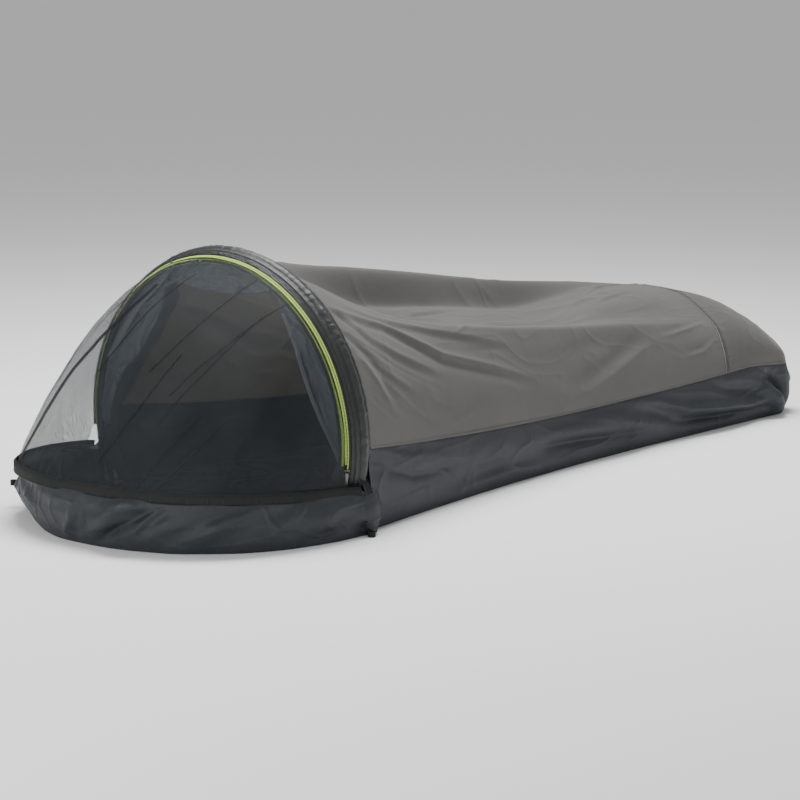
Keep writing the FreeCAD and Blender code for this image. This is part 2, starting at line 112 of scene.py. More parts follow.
def ridge_height(u):
    toe = 0.300  # the last stretch, where the ridge drops to the wall
    ridge = 0.505 - 0.238 * (np.maximum(u, 1e-6) / SACK) ** 0.85
    drop = np.clip(u - (SACK - toe), 0, toe) / toe
    slack = 0.005 * np.exp(-(((u - 0.22) / 0.15) ** 2)) - 0.005 * ease(u, 0.80, 1.15)
    rise = (ridge - slack - wall_height(u)) * np.maximum(0, 1 - drop**3) ** 0.66
    return wall_height(u) + np.maximum(rise, 0.004)


def rounded(length, width, power, angle):
    """Head outline: (u, y) at angle degrees, 0 on the right of the hoop, 90 in front."""
    s, c = np.sin(np.radians(angle)), np.cos(np.radians(angle))
    return -length * np.abs(s) ** (2 / power), -np.sign(c) * width * np.abs(c) ** (2 / power)


def on_hoop(u, radius, angle):
    """Point at u along the hoop's axis, and at that radius and angle in degrees about it."""
    a = np.radians(angle)
    return stack(HOOP_X + u, -radius * np.cos(a), AXIS_Z + radius * np.sin(a))


def zip_point(s, h):
    """(u, radius) of a point s across the zip and h above it."""
    return ZIP_U - 0.8 * s - 0.6 * h, ZIP_R - 0.6 * s + 0.8 * h


# ---- mesh helpers
def steps(count):
    """Even steps from 0 to 1."""
    return np.linspace(0, 1, count)


def join(*lines):
    return np.concatenate(lines)


def stack(*parts):
    """Points from their coordinates, which may be arrays of any matching shapes."""
    return np.stack(np.broadcast_arrays(*parts), -1).astype(float)


def field(points, size, seed, waves=16):
    """Smooth random field, about -1 to 1, with features about size across, over points (..., k)."""
    rng = np.random.RandomState(seed)
    total = np.zeros(points.shape[:-1])
    for _ in range(waves):
        k = rng.normal(size=points.shape[-1])
        k *= rng.uniform(0.55, 1.45) * 2 * math.pi / (size * np.linalg.norm(k))
        total += np.sin(points @ k + rng.uniform(0, 2 * math.pi))
    return np.tanh(total / math.sqrt(waves) * 1.2)


def creased(points, size, seed, sharp=3.0):
    """Random network of sharp crests, 0 to 1, as in crumpled cloth."""
    bends = [field(points, size * 1.4, seed + 7 + i) for i in range(points.shape[-1])]
    bent = points + 0.35 * size * stack(*bends)
    return (1 - np.abs(field(bent, size, seed))) ** sharp


def unit(vectors):
    """Vectors scaled to length 1."""
    return vectors / np.maximum(np.linalg.norm(vectors, axis=-1, keepdims=True), 1e-12)


def distance_along(line):
    """Running length of a line at each of its points."""
    return join([0], np.cumsum(np.linalg.norm(np.diff(line, axis=0), axis=1)))


def normals(grid):
    return unit(np.cross(np.gradient(grid, axis=0), np.gradient(grid, axis=1)))


def facing_out(grid, inside):
    """Normals of a grid that point away from the point inside."""
    n = normals(grid)
    return -n if ((grid - np.array(inside)) * n).sum() < 0 else n


def fold(at, path, height, width, side=1, hollow=0.8):
    """A fold along a path in a panel's own metres: a crest and, on one side, a hollow."""
    path = np.array(path, float)
    lengths = np.linalg.norm(np.diff(path, axis=0), axis=1)
    none = np.zeros(at.shape[:-1])
    best, along, across = none + 1e9, none, none
    done = 0.0
    for p, q, length in zip(path, path[1:], lengths):
        d = (q - p) / length
        t = np.clip((at - p) @ d, 0, length)
        off = at - p - t[..., None] * d
        away = np.linalg.norm(off, axis=-1)
        near = away < best
        best = np.where(near, away, best)
        along = np.where(near, done + t, along)
        across = np.where(near, off[..., 0] * -d[1] + off[..., 1] * d[0], across)
        done += length
    taper = np.sin(np.clip(along / done, 0, 1) * math.pi) ** 0.7
    end = np.sqrt(np.maximum(best**2 - across**2, 0))
    taper = np.maximum(taper, 0.15) * np.exp(-((end / (2 * width)) ** 2))
    crest = np.exp(-((np.abs(across) / width) ** 1.5))
    dip = np.exp(-(((across - side * 2.1 * width) / (1.5 * width)) ** 2))
    return height * taper * (crest - hollow * dip)


def add_folds(relief, at, listed, scale=1.0):
    """Relief with folds on it, each (path, height, width) and then maybe side and hollow."""
    return sum((fold(at, path, scale * height, *rest) for path, height, *rest in listed), relief)


def link(name, data):
    """A new object in the scene that holds the data."""
    thing = bpy.data.objects.new(name, data)
    bpy.context.scene.collection.objects.link(thing)
    return thing


def mesh_object(name, verts, faces, material, uv=None, smooth=True):
    mesh = bpy.data.meshes.new(name)
    mesh.from_pydata(np.asarray(verts).reshape(-1, 3).tolist(), [], [list(face) for face in faces])
    if uv is not None:
        layer = mesh.uv_layers.new(name="cloth")
        loops = np.zeros(len(mesh.loops), np.int32)
        mesh.loops.foreach_get("vertex_index", loops)
        layer.data.foreach_set("uv", np.asarray(uv, np.float32)[loops].ravel())
    mesh.polygons.foreach_set("use_smooth", [smooth] * len(mesh.polygons))
    mesh.materials.append(material)
    mesh.validate()
    return link(name, mesh)


def dress(piece, slot, *nodes):
    """The piece stands for those CAD nodes, which it hides. slot is not used."""
    if nodes:
        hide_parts(*nodes)
    return piece


def quads(rows, cols, closed=False):
    """Faces over a grid of points. closed joins its last column to its first."""
    i, j = np.meshgrid(np.arange(rows - 1), np.arange(cols if closed else cols - 1), indexing="ij")
    k = (j + 1) % cols
    f = np.stack([i * cols + j, (i + 1) * cols + j, (i + 1) * cols + k, i * cols + k], -1)
    return f.reshape(-1, 4).tolist()


def end_caps(rows, cols):
    """Two faces that close the ends of a closed grid."""
    return [list(range(cols))[::-1], list(range((rows - 1) * cols, rows * cols))]


def panel(name, grid, out, thickness, material, body="sack", uv=None):
    """A sheet of cloth with real thickness: outside grid, inside copy and closed edges."""
    rows, cols = grid.shape[:2]
    n = rows * cols
    faces = np.array(quads(rows, cols))
    i, j = np.arange(rows - 1), np.arange(cols - 1)
    last = (rows - 1) * cols
    edges = [(j, j + 1), (last + j + 1, last + j), ((i + 1) * cols, i * cols)]
    edges += [(i * cols + cols - 1, (i + 1) * cols + cols - 1)]
    rims = join(*(np.stack([a, b, b + n, a + n], -1) for a, b in edges))
    if (normals(grid) * out).sum() < 0:
        faces = faces[:, ::-1]
    else:
        rims = rims[:, ::-1]
    faces = join(faces, faces[:, ::-1] + n, rims)
    uv = (cloth_uv(grid) if uv is None else uv).reshape(-1, 2)
    both = np.stack([grid, grid - out * thickness])
    piece = mesh_object(name, both, faces.tolist(), material, join(uv, uv))
    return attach(piece, body) if body else piece


def cloth_uv(grid):
    """Coordinates over a grid in metres, along its rows and columns."""
    a = np.linalg.norm(np.diff(grid, axis=0), axis=-1).mean(1)
    b = np.linalg.norm(np.diff(grid, axis=1), axis=-1).mean(0)
    a, b = join([0], np.cumsum(a)), join([0], np.cumsum(b))
    return np.stack(np.meshgrid(a, b, indexing="ij"), -1)


def frames(line):
    """Unit tangents of a line of points."""
    return unit(np.gradient(line, axis=0))


def ribbon(name, line, out, width, thickness, material, body="sack", rows=5, puff=0.0):
    """Tape along a line of points, facing out, its width across the line."""
    side = unit(np.cross(frames(line), out))
    w = np.linspace(-0.5, 0.5, rows)
    grid = line[:, None] + side[:, None] * (w * width)[None, :, None]
    grid += out[:, None] * (thickness + puff * (1 - (2 * w) ** 2))[None, :, None]
    outs = np.repeat(out[:, None], rows, 1)
    return panel(name, grid, outs, thickness, material, body)


def resample(line, step=None, count=None):
    """The line with evenly spaced points, a step apart or so many in all."""
    line = np.asarray(line, float)
    d = distance_along(line)
    at = np.linspace(0, d[-1], count or max(2, int(round(d[-1] / step)) + 1))
    return np.stack([np.interp(at, d, line[:, k]) for k in range(line.shape[1])], -1)


def stitches(name, line, out, material, body="sack", pitch=0.0042, length=0.0027, size=0.0007):
    """A row of thread stitches along a line of points, each a small rounded bar lying on the cloth."""
    both = resample(np.concatenate([line, out], 1), pitch)
    mid, up = both[:, :3], unit(both[:, 3:])
    along = frames(mid)
    across = np.cross(along, up)
    shape = [(-1, 0, 0), (-0.6, -1, 0.7), (-0.6, 1, 0.7), (0.6, -1, 0.7), (0.6, 1, 0.7), (1, 0, 0)]
    shape += [(-0.5, 0, 1.3), (0.5, 0, 1.3)]
    a, b, c = (np.array(shape, float) * (length / 2, size / 2, size)).T[..., None]
    verts = mid[:, None] + along[:, None] * a + across[:, None] * b + up[:, None] * (c + 0.0001)
    one = [(0, 1, 6), (0, 6, 2), (1, 3, 7), (1, 7, 6), (2, 6, 7), (2, 7, 4), (3, 5, 7), (7, 5, 4)]
    one = np.array(one)
    faces = (one[None] + 8 * np.arange(len(mid))[:, None, None]).reshape(-1, 3)
    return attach(mesh_object(name, verts, faces.tolist(), material), body)


def tube(name, line, radius, material, body="sack", sides=10, closed=False):
    """Round bar along a line of points."""
    line = np.asarray(line, float)
    t = frames(line)
    if closed:
        t = unit(np.roll(line, -1, 0) - np.roll(line, 1, 0))
    ref = np.array([1.0, 0, 0]) if abs(t[:, 0]).mean() < 0.8 else np.array([0, 0, 1.0])
    a = unit(np.cross(t, ref))
    b = np.cross(t, a)
    ang = np.linspace(0, 2 * math.pi, sides, endpoint=False)
    radius = np.broadcast_to(radius, (len(line),))[:, None, None]
    ring = a[:, None] * np.cos(ang)[None, :, None] + b[:, None] * np.sin(ang)[None, :, None]
    rows = len(line)
    faces = quads(rows, sides, True)
    if closed:
        last = (rows - 1) * sides
        faces += [[last + j, j, (j + 1) % sides, last + (j + 1) % sides] for j in range(sides)]
    else:
        faces += end_caps(rows, sides)
    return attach(mesh_object(name, line[:, None] + radius * ring, faces, material), body)


# ---- materials
class Nodes:
    """Small helper to wire a material's nodes."""

    def __init__(self, name):
        self.material = bpy.data.materials.new(name)
        self.material.use_nodes = True
        self.tree = self.material.node_tree
        self.tree.nodes.clear()
        self.output = self.tree.nodes.new("ShaderNodeOutputMaterial")

    def node(self, kind, inputs=(), **settings):
        node = self.tree.nodes.new("ShaderNode" + kind)
        for key, value in settings.items():
            setattr(node, key, value)
        for key, value in dict(inputs).items():
            self.feed(node.inputs[key], value)
        return node

    def add(self, kind, inputs=(), **settings):
        """First output of a new node."""
        return self.node(kind, inputs, **settings).outputs[0]

    def place(self):
        """Object coordinates, in metres."""
        return self.node("TexCoord").outputs["Object"]

    def feed(self, socket, value):
        if isinstance(value, bpy.types.NodeSocket):
            self.tree.links.new(value, socket)
        else:
            socket.default_value = value

    def math(self, operation, a, b=0.0):
        return self.add("Math", {0: a, 1: b}, operation=operation)

    def mix(self, share, a, b):
        node = self.node("Mix", data_type="RGBA")
        self.feed(node.inputs[0], share)
        for socket, value in ((node.inputs[6], a), (node.inputs[7], b)):
            self.feed(socket, value)
        return node.outputs[2]

    def ramp(self, value, low, high):
        return self.add("MapRange", {"Value": value, "From Min": low, "From Max": high})

    def noise(self, vector, scale, detail=4.0, roughness=0.55, distortion=0.0):
        inputs = {"Vector": vector, "Scale": scale, "Detail": detail, "Roughness": roughness}
        return self.add("TexNoise", {**inputs, "Distortion": distortion})

    def threads(self, vector, pitch):
        """Height of a plain weave of that pitch, 0 to 1."""
        split = self.node("SeparateXYZ", {0: vector})
        waves = []
        for axis in (0, 1):
            turn = self.math("MULTIPLY", split.outputs[axis], 2 * math.pi / pitch)
            waves.append(self.math("ABSOLUTE", self.math("SINE", turn)))
        return self.math("MAXIMUM", waves[0], waves[1])

    def bump(self, height, distance, strength=1.0, after=None):
        inputs = {"Height": height, "Distance": distance, "Strength": strength}
        if after is not None:
            inputs["Normal"] = after
        return self.add("Bump", inputs)

    def done(self, shader):
        self.tree.links.new(shader, self.output.inputs["Surface"])
        return self.material


def rgb(*levels):
    """Colour from 0 to 255 sRGB values."""
    linear = [((v / 255 + 0.055) / 1.055) ** 2.4 if v > 10 else v / 255 / 12.92 for v in levels]
    return (*linear, 1.0)


def cloth_material(
    name, colour, dark, rough, sheen=0.0, weave=0.0011, glow=0.0, wrinkle=1.0, gloss=0.42
):
    """Coated nylon: weave, patchy tone, crumple marks, soft sheen and, if glow, light from behind."""
    m = Nodes(name)
    colour, dark = rgb(*colour), rgb(*dark)
    uv = m.add("UVMap", uv_map="cloth")
    place = m.place()
    patch = m.ramp(m.noise(place, 4.0, 5.0), 0.3, 0.7)
    speck = m.ramp(m.noise(place, 190.0, 2.0), 0.3, 0.75)
    tone = m.mix(m.math("MULTIPLY", patch, 0.6), colour, dark)
    tone = m.mix(m.math("MULTIPLY", speck, 0.16), tone, dark)
    slub = m.add("Mapping", {"Vector": uv, "Scale": (900.0, 60.0, 1.0)})
    tone = m.mix(m.math("MULTIPLY", m.noise(slub, 1.0, 2.0), 0.10), tone, (0.30, 0.30, 0.30, 1))
    normal = m.bump(m.noise(place, 11.0, 5.0, 0.5, 0.8), 0.004 * wrinkle, 0.32)
    normal = m.bump(m.noise(place, 48.0, 4.0, 0.55, 0.5), 0.0010 * wrinkle, 0.35, normal)
    normal = m.bump(m.threads(uv, weave), 0.00012, 0.6, normal)
    roughness = m.math("ADD", m.math("MULTIPLY", patch, 0.12), rough - 0.06)
    inputs = {"Base Color": tone, "Roughness": roughness, "Normal": normal}
    inputs.update({"Sheen Weight": sheen, "Sheen Roughness": 0.45, "Specular IOR Level": gloss})
    shader = m.add("BsdfPrincipled", inputs)
    if glow:
        lit = m.mix(0.55, tone, rgb(206, 196, 178))
        back = m.add("BsdfTranslucent", {"Color": lit, "Normal": normal})
        shader = m.add("MixShader", {0: glow, 1: shader, 2: back})
    return m.done(shader)


def netting_material(name, thread, haze, thick, pitch=0.0018):
    """Fine mesh: dark threads round clear holes. thick is a thread's share of the pitch."""
    m = Nodes(name)
    uv = m.add("UVMap", uv_map="cloth")
    place = m.place()
    edge = math.cos(math.pi * thick / 2)
    threads = m.ramp(m.threads(uv, 2 * pitch), edge - 0.006, edge + 0.006)
    cloud = m.ramp(m.noise(place, 9.0, 4.0, 0.6, 0.4), 0.35, 0.85)
    solid = m.math("ADD", haze, m.math("MULTIPLY", cloud, haze))
    solid = m.math("ADD", solid, m.math("MULTIPLY", threads, 0.85))
    colour = m.mix(m.math("MULTIPLY", cloud, 0.5), rgb(*thread), rgb(64, 68, 72))
    inputs = {"Base Color": colour, "Roughness": 0.6, "Specular IOR Level": 0.15}
    front = m.add("BsdfPrincipled", inputs)
    clear = m.add("BsdfTransparent")
    return m.done(m.add("MixShader", {0: m.math("MINIMUM", solid, 1.0), 1: clear, 2: front}))


def webbing_material(name, colour, light, pitch=0.0016):
    """Woven tape: herringbone ribs, fuzzed edges of lighter thread."""
    m = Nodes(name)
    place = m.place()
    waves = {"Vector": place, "Scale": 1 / pitch / 6.3, "Distortion": 1.5, "Detail": 1.0}
    ribs = m.node("TexWave", waves).outputs[1]
    waves = {"Vector": place, "Scale": 1 / pitch / 9.0}
    weft = m.node("TexWave", waves, bands_direction="Z").outputs[1]
    fuzz = m.ramp(m.noise(place, 260.0, 3.0), 0.35, 0.8)
    tone = m.mix(m.math("MULTIPLY", fuzz, 0.5), rgb(*colour), rgb(*light))
    normal = m.bump(m.math("MAXIMUM", ribs, weft), 0.0002, 0.7)
    inputs = {"Base Color": tone, "Roughness": 0.75, "Normal": normal, "Sheen Weight": 0.05}
    inputs["Specular IOR Level"] = 0.25
    return m.done(m.add("BsdfPrincipled", inputs))


def hard_material(name, colour, worn, rough=0.4, metal=0.0):
    """Moulding or cast metal: fine grain, scuffs where edges are rubbed."""
    m = Nodes(name)
    place = m.place()
    grain = m.noise(place, 420.0, 3.0)
    scuff = m.math("POWER", m.ramp(m.noise(place, 90.0, 4.0, 0.6), 0.45, 0.8), 2.0)
    edge = m.ramp(m.node("NewGeometry").outputs["Pointiness"], 0.5, 0.62)
    wear = m.math("ADD", m.math("MULTIPLY", scuff, 0.3), m.math("MULTIPLY", edge, 0.5))
    wear = m.math("MINIMUM", wear, 1.0)
    tone = m.mix(wear, rgb(*colour), rgb(*worn))
    roughness = m.math("ADD", rough, m.math("MULTIPLY", grain, 0.18))
    inputs = {"Base Color": tone, "Roughness": roughness, "Metallic": metal}
    inputs["Normal"] = m.bump(grain, 0.0001, 0.4)
    return m.done(m.add("BsdfPrincipled", inputs))


SHELL = cloth_material("shell_cloth", (96, 94, 91), (82, 80, 77), 0.55, sheen=0.25, glow=0.34)
# Toe cap: the shell's cloth painted darker, painted shade on the cap
CAP_PAINTED_SHADE = cloth_material("cap_cloth_painted_shade", (68, 66, 64), (58, 56, 54), 0.62, sheen=0.25, glow=0.14)
WALL = cloth_material("wall_cloth", (28, 34, 40), (19, 24, 29), 0.52, wrinkle=1.2, gloss=0.24)
# Groundsheet: the walls' cloth painted lighter, painted light inside the sack
FLOOR_PAINTED_LIGHT = cloth_material("floor_cloth", (50, 56, 63), (38, 43, 49), 0.5, wrinkle=1.2, gloss=0.34)
STORM = cloth_material("storm_cloth", (94, 102, 112), (62, 69, 77), 0.40, wrinkle=1.2)
BAND = cloth_material("band_cloth", (8, 9, 10), (5, 6, 7), 0.7, wrinkle=0.4, gloss=0.12)
HEM_CLOTH = cloth_material("hem_cloth", (112, 118, 126), (92, 98, 106), 0.45, wrinkle=0.8)
SLEEVE = cloth_material("sleeve_cloth", (16, 18, 20), (9, 10, 11), 0.42)
LIME = cloth_material("lime_tape", (216, 252, 104), (196, 238, 84), 0.6, 0.25, 0.0009, wrinkle=0.3)
TAPE_DARK = cloth_material("dark_tape", (12, 13, 14), (7, 8, 9), 0.6, weave=0.0009, wrinkle=0.3)
NETTING = netting_material("netting", (52, 56, 60), 0.065, 0.15)
HEM = netting_material("netting_doubled", (20, 22, 24), 0.22, 0.28)
PULLED = netting_material("netting_pulled", (30, 33, 36), 0.14, 0.26)
PLEAT = netting_material("netting_pleat", (12, 13, 15), 0.22, 0.42)
WEBBING = webbing_material("webbing", (10, 11, 12), (34, 36, 39))
CORD = webbing_material("cord", (18, 19, 21), (90, 92, 94), pitch=0.0010)
THREAD = webbing_material("thread", (50, 50, 50), (84, 84, 84), pitch=0.0006)
THREAD_DARK = webbing_material("thread_dark", (16, 17, 19), (50, 52, 56), pitch=0.0006)
COIL = hard_material("zip_coil", (220, 255, 104), (244, 255, 190), 0.45)
HARD = hard_material("black_moulding", (16, 16, 18), (80, 82, 84), 0.38)
METAL = hard_material("black_metal", (30, 31, 33), (150, 150, 148), 0.3, 0.8)
ROD = hard_material("pole_rod", (62, 64, 67), (120, 122, 124), 0.32, 0.6)
ALLOY = hard_material("ferrule_alloy", (170, 172, 176), (210, 212, 214), 0.28, 1.0)


# ---- floor and its upturned sides
def side_outline():
    """The floor's edge from the hoop's right foot round the toe to the left, and its outward side."""
    u = np.linspace(0.030, SIDE, 520)
    right = stack(u, -half_width(u))
    straight = float(half_width(SIDE)) - TOE_CORNER
    a = np.radians(np.linspace(0, 90, 26))[1:]
    corner = stack(SIDE + TOE_CORNER * np.sin(a), -straight - TOE_CORNER * np.cos(a))
    half = join(right, corner, stack(SACK, np.linspace(-straight, 0, 66)[1:]))
    line = join(half, half[-2::-1] * (1, -1))
    t = frames(line)
    return line, stack(t[:, 1], -t[:, 0])


def side_folds(at):
    """Relief of the floor's sides over (distance along, height)."""
    d = 0.0028 * field(at * (0.55, 1.6), 0.16, 3) + 0.0022 * (creased(at * (0.4, 1.3), 0.11, 5) - 0.35)
    listed = [
        ([(0.62, 0.062), (0.84, 0.050), (1.05, 0.034)], -0.0085, 0.012, 1, 0.9),
        ([(0.96, 0.112), (1.09, 0.098), (1.20, 0.066), (1.40, 0.050), (1.53, 0.018)], 0.0070, 0.011, -1, 0.9),
        ([(1.28, 0.120), (1.36, 0.092), (1.49, 0.074)], -0.0050, 0.011),
        ([(1.52, 0.112), (1.575, 0.074), (1.625, 0.020)], -0.0200, 0.013, -1, 0.9),
        ([(1.17, 0.040), (1.36, 0.030), (1.58, 0.026)], -0.0080, 0.008, 1, 0.9),
        ([(0.06, 0.150), (0.12, 0.126), (0.24, 0.112)], 0.0035, 0.009),
        ([(0.05, 0.118), (0.16, 0.082), (0.34, 0.078)], -0.0035, 0.010),
        ([(0.30, 0.020), (0.52, 0.030), (0.70, 0.022)], 0.0040, 0.010),
        ([(0.78, 0.104), (0.92, 0.086), (1.02, 0.060)], 0.0040, 0.009, -1),
        ([(1.63, 0.100), (1.69, 0.050), (1.76, 0.030)], 0.0080, 0.012, 1, 0.9),
        ([(1.70, 0.120), (1.80, 0.070), (1.95, 0.066)], -0.0070, 0.012),
    ]
    d = add_folds(d, at, listed, 1.35)
    rng = np.random.RandomState(11)
    for _ in range(26):
        s, z = rng.uniform(1.95, 3.75), rng.uniform(0.02, 0.11)
        step, drop = rng.uniform(0.06, 0.16), rng.uniform(-0.04, 0.04)
        path = [(s, z), (s + step, z + drop * 0.4), (s + 2 * step, z + drop)]
        d = d + fold(at, path, rng.uniform(-0.006, 0.006), rng.uniform(0.008, 0.014))
    return d


def build_sides():
    line, out = side_outline()
    t = steps(44)
    top = wall_height(line[:, 0])
    z = t * top[:, None] + 0.0006
    run = distance_along(line)
    pin = np.sin(np.pi * t) ** 0.55
    bulge = 0.006 * np.sin(np.pi * t) ** 0.8 * (1 + ease(line[:, :1], 1.50, 1.66))
    push = side_folds(stack(run[:, None], z)) * pin + bulge - 0.005 * (1 - t) ** 6
    grid = stack(HOOP_X + line[:, :1] + out[:, :1] * push, line[:, 1:] + out[:, 1:] * push, z)
    outs = np.repeat(stack(out[:, 0], out[:, 1], 0)[:, None], len(t), 1)
    piece = panel("floor_sides", grid, outs, CLOTH, WALL)
    dress(piece, "floor_cloth", "side_wall_right", "side_wall_left", "foot_wall")
    return line, out


def head_outline(angle, z):
    """The head wall's plan at a height: (u, y)."""
    lean = np.clip(z / 0.055, 0, 1)
    shrink = np.clip((z - 0.055) / 0.065, 0, 1)
    length = HEAD + 0.014 * lean - 0.004 * shrink
    width = 0.353 + 0.004 * lean - 0.004 * shrink
    return rounded(length, width, 2.2 + 0.2 * lean, angle)


def band_middle(u):
    """Height of the band's middle over the head wall."""
    return 0.0815 + 0.0240 * np.clip(-u / BAND_LENGTH, 0, 1) ** 0.6


def head_path(count=460):
    """Angles evenly spaced along the head's edge, and its length."""
    dense = np.linspace(0, 180, 4001)
    run = distance_along(stack(*rounded(BAND_LENGTH, BAND_WIDTH, BAND_POWER, dense)))
    return np.interp(np.linspace(0, run[-1], count), run, dense), run[-1]


def head_folds(at, length):
    """Relief of the head wall over (distance from the hoop's right foot, height)."""
    d = 0.0030 * field(at * (0.7, 1.4), 0.13, 21) + 0.0028 * (creased(at * (0.5, 1.1), 0.09, 23) - 0.35)
    listed = [
        ([(0.555, 0.004), (0.500, 0.045), (0.420, 0.085)], -0.0125, 0.012, -1, 0.9),
        ([(0.470, 0.040), (0.435, 0.070), (0.405, 0.092)], 0.0060, 0.006, 1, 0.9),
        ([(0.435, 0.004), (0.375, 0.030), (0.320, 0.066)], -0.0050, 0.009),
        ([(0.425, 0.006), (0.330, 0.050), (0.225, 0.090)], 0.0065, 0.008, -1, 0.9),
        ([(0.300, 0.010), (0.215, 0.040), (0.130, 0.085)], 0.0040, 0.010, -1),
        ([(0.160, 0.008), (0.090, 0.020), (0.030, 0.050)], -0.0050, 0.010),
        ([(0.640, 0.012), (0.610, 0.050), (0.600, 0.088)], 0.0070, 0.010),
        ([(0.520, 0.072), (0.480, 0.084), (0.440, 0.088)], 0.0045, 0.006),
    ]
    d = add_folds(d, at, listed, 1.25)
    rng = np.random.RandomState(31)
    for _ in range(12):
        s, z = rng.uniform(0.68, length - 0.1), rng.uniform(0.01, 0.05)
        path = [(s, z), (s + rng.uniform(0.04, 0.10), z + rng.uniform(0.02, 0.05))]
        d = d + fold(at, path, rng.uniform(-0.007, 0.007), rng.uniform(0.007, 0.012))
    return d


def build_head():
    """The head wall. Past the hoop's feet it runs on a little, over the ends of the long sides."""
    angle, length = head_path()
    tail = 0.045
    t = steps(40)
    u_top = rounded(BAND_LENGTH, BAND_WIDTH, BAND_POWER, angle)[0]
    z = t * (band_middle(u_top) + 0.002)[:, None] + 0.0005
    u, y = head_outline(angle[:, None], z)
    beyond = np.linspace(tail, 0.0, 14)[:-1, None]
    bow = 0.003 * np.sin(beyond / tail * math.pi)
    u = join(u[:1] + beyond, u, (u[-1:] + beyond)[::-1])
    y = join(y[:1] - bow, y, (y[-1:] + bow)[::-1])
    z = join(z[:1] + 0 * beyond, z, z[-1:] + 0 * beyond)
    grid = stack(HOOP_X + u, y, z)
    out = facing_out(grid, (HOOP_X - 0.1, 0, 0.05))
    run = distance_along(grid[:, len(t) // 2]) - tail
    pin = np.sin(np.pi * np.clip(t * 0.96 + 0.02, 0, 1)) ** 0.5 * ease(1 - t, 0.0, 0.24)
    push = head_folds(stack(run[:, None], z), length) * pin
    push = push + (0.007 * np.sin(np.pi * t) + 0.004 * (1 - t))
    tuck = 0.004 * (1 - t) ** 1.5 + 0.012 * ease(1 - t, 0.0, 0.18)
    tuck = tuck * ease(y, 0.0, 0.20) * ease(-u, 0.05, 0.15)
    # the stake loop holds the cloth out to itself
    to_loop = np.hypot(u - LOOP_ROOT[0], y - LOOP_ROOT[1])
    at_loop = np.exp(-((to_loop / 0.022) ** 2) - ((z - LOOP_ROOT[2]) / 0.022) ** 2)
    push = (push - tuck) * (1 - at_loop) + 0.002 * at_loop
    grid = grid + out * push[..., None]
    grid[..., 2] = np.maximum(grid[..., 2], 0.0004)
    piece = panel("head_sides", grid, out, CLOTH, WALL)
    dress(piece, "floor_cloth", "head_wall", "hoop_gusset_right", "hoop_gusset_left")
    return grid[:, 0] - (HOOP_X, 0, 0)


def build_band():
    """The stiff dark flap on the head wall's rim, with its two rows of stitches."""
    angle, length = head_path(360)
    u, y = rounded(BAND_LENGTH + 0.003, BAND_WIDTH + 0.003, BAND_POWER, angle)
    line = stack(HOOP_X + u, y, band_middle(u))
    out = unit(np.cross(frames(line), (0, 0, 1.0)))
    if out[len(out) // 2, 0] > 0:
        out = -out
    wave = 0.0012 * field(np.linspace(0, length, len(line))[:, None], 0.20, 41)

    def row(height, stand):
        return line + out * (stand + wave)[:, None] + (0, 0, height)

    profile = [(-0.0112, -0.0012), (-0.0100, 0.0010), (-0.004, 0.0018), (0.004, 0.0016)]
    profile += [(0.0098, 0.0008), (0.0112, -0.0016)]
    grid = np.stack([row(*at) for at in profile], 1)
    piece = panel("head_band", grid, np.repeat(out[:, None], len(profile), 1), 0.0022, BAND)
    dress(piece, "binding", "front_band")
    stitches("band_stitches_low", row(-0.0085, 0.0012), out, THREAD_DARK)
    stitches("band_stitches_high", row(0.0085, 0.0009), out, THREAD_DARK)


def build_floor(base):
    """The groundsheet, inside the walls: one panel with shallow wrinkles, seen through the netting."""
    head = np.linspace(base[:, 0].min() + 0.004, -0.002, 130)
    u = join(head, np.linspace(0.003, SACK - 0.003, 520))
    tip = int(np.argmin(base[:, 0]))
    side = np.minimum(0.349, half_width(np.maximum(u, 0)) - 0.003)
    edges = []
    for half in (base[: tip + 1][::-1], base[tip:]):
        head = np.maximum(np.interp(u, half[:, 0], np.abs(half[:, 1])) - 0.003, 0.004)
        edges.append(np.where(u < 0, head, side)[:, None])
    v = steps(120)
    grid = stack(HOOP_X + u[:, None], -edges[0] * (1 - v) + edges[1] * v, 0.0022)
    at = grid[..., :2]
    rise = 0.0022 * creased(at, 0.16, 51) + 0.0010 * (1 + field(at, 0.10, 53))
    grid[..., 2] += rise + 0.004 * np.abs(2 * v - 1) ** 14
    up = np.tile((0, 0, 1.0), grid.shape[:2] + (1,))
    # the groundsheet's cloth is painted lighter, as painted light
    piece = dress(panel("groundsheet", grid, up, 0.0012, FLOOR_PAINTED_LIGHT), "floor_cloth", "floor_panel")


# ---- top shell and toe cap
DEGREE = 0.0060  # metres of cloth to one degree of the arch


def cap_seam(angle):
    """u of the seam between the shell and the toe cap."""
    return 1.390 + 0.035 * np.sin(np.radians(angle)) ** 2


def top_surface(u, angle):
    """Arch over the sack. It hangs from a taut ridge to a flat shelf, and fills out at the toe."""
    a = np.radians(angle)
    foot, top = wall_height(u), ridge_height(u)
    across = np.abs(np.cos(a))
    full = 2 + 0.60 * ease(u, 1.38, 1.60)
    arch = np.maximum(0, 1 - across**full) ** (1 / full)
    hang = ease(u, 0.03, 0.40) * (1 - ease(u, 0.80, 1.30))
    dip = 0.23 * ease(across, 0.0, 0.15) * (1 - ease(across, 0.34, 0.86))
    round_off = 0.06 * ease(u, SACK - 0.11, SACK) * np.sin(a)
    y = -half_width(u) * np.cos(a) * (1 - round_off)
    return stack(HOOP_X + u, y, foot + (top - foot) * (arch - dip * hang))


def in_metres(path):
    """A path of (u, degrees) as metres on the cloth."""
    return [(u, angle * DEGREE) for u, angle in path]


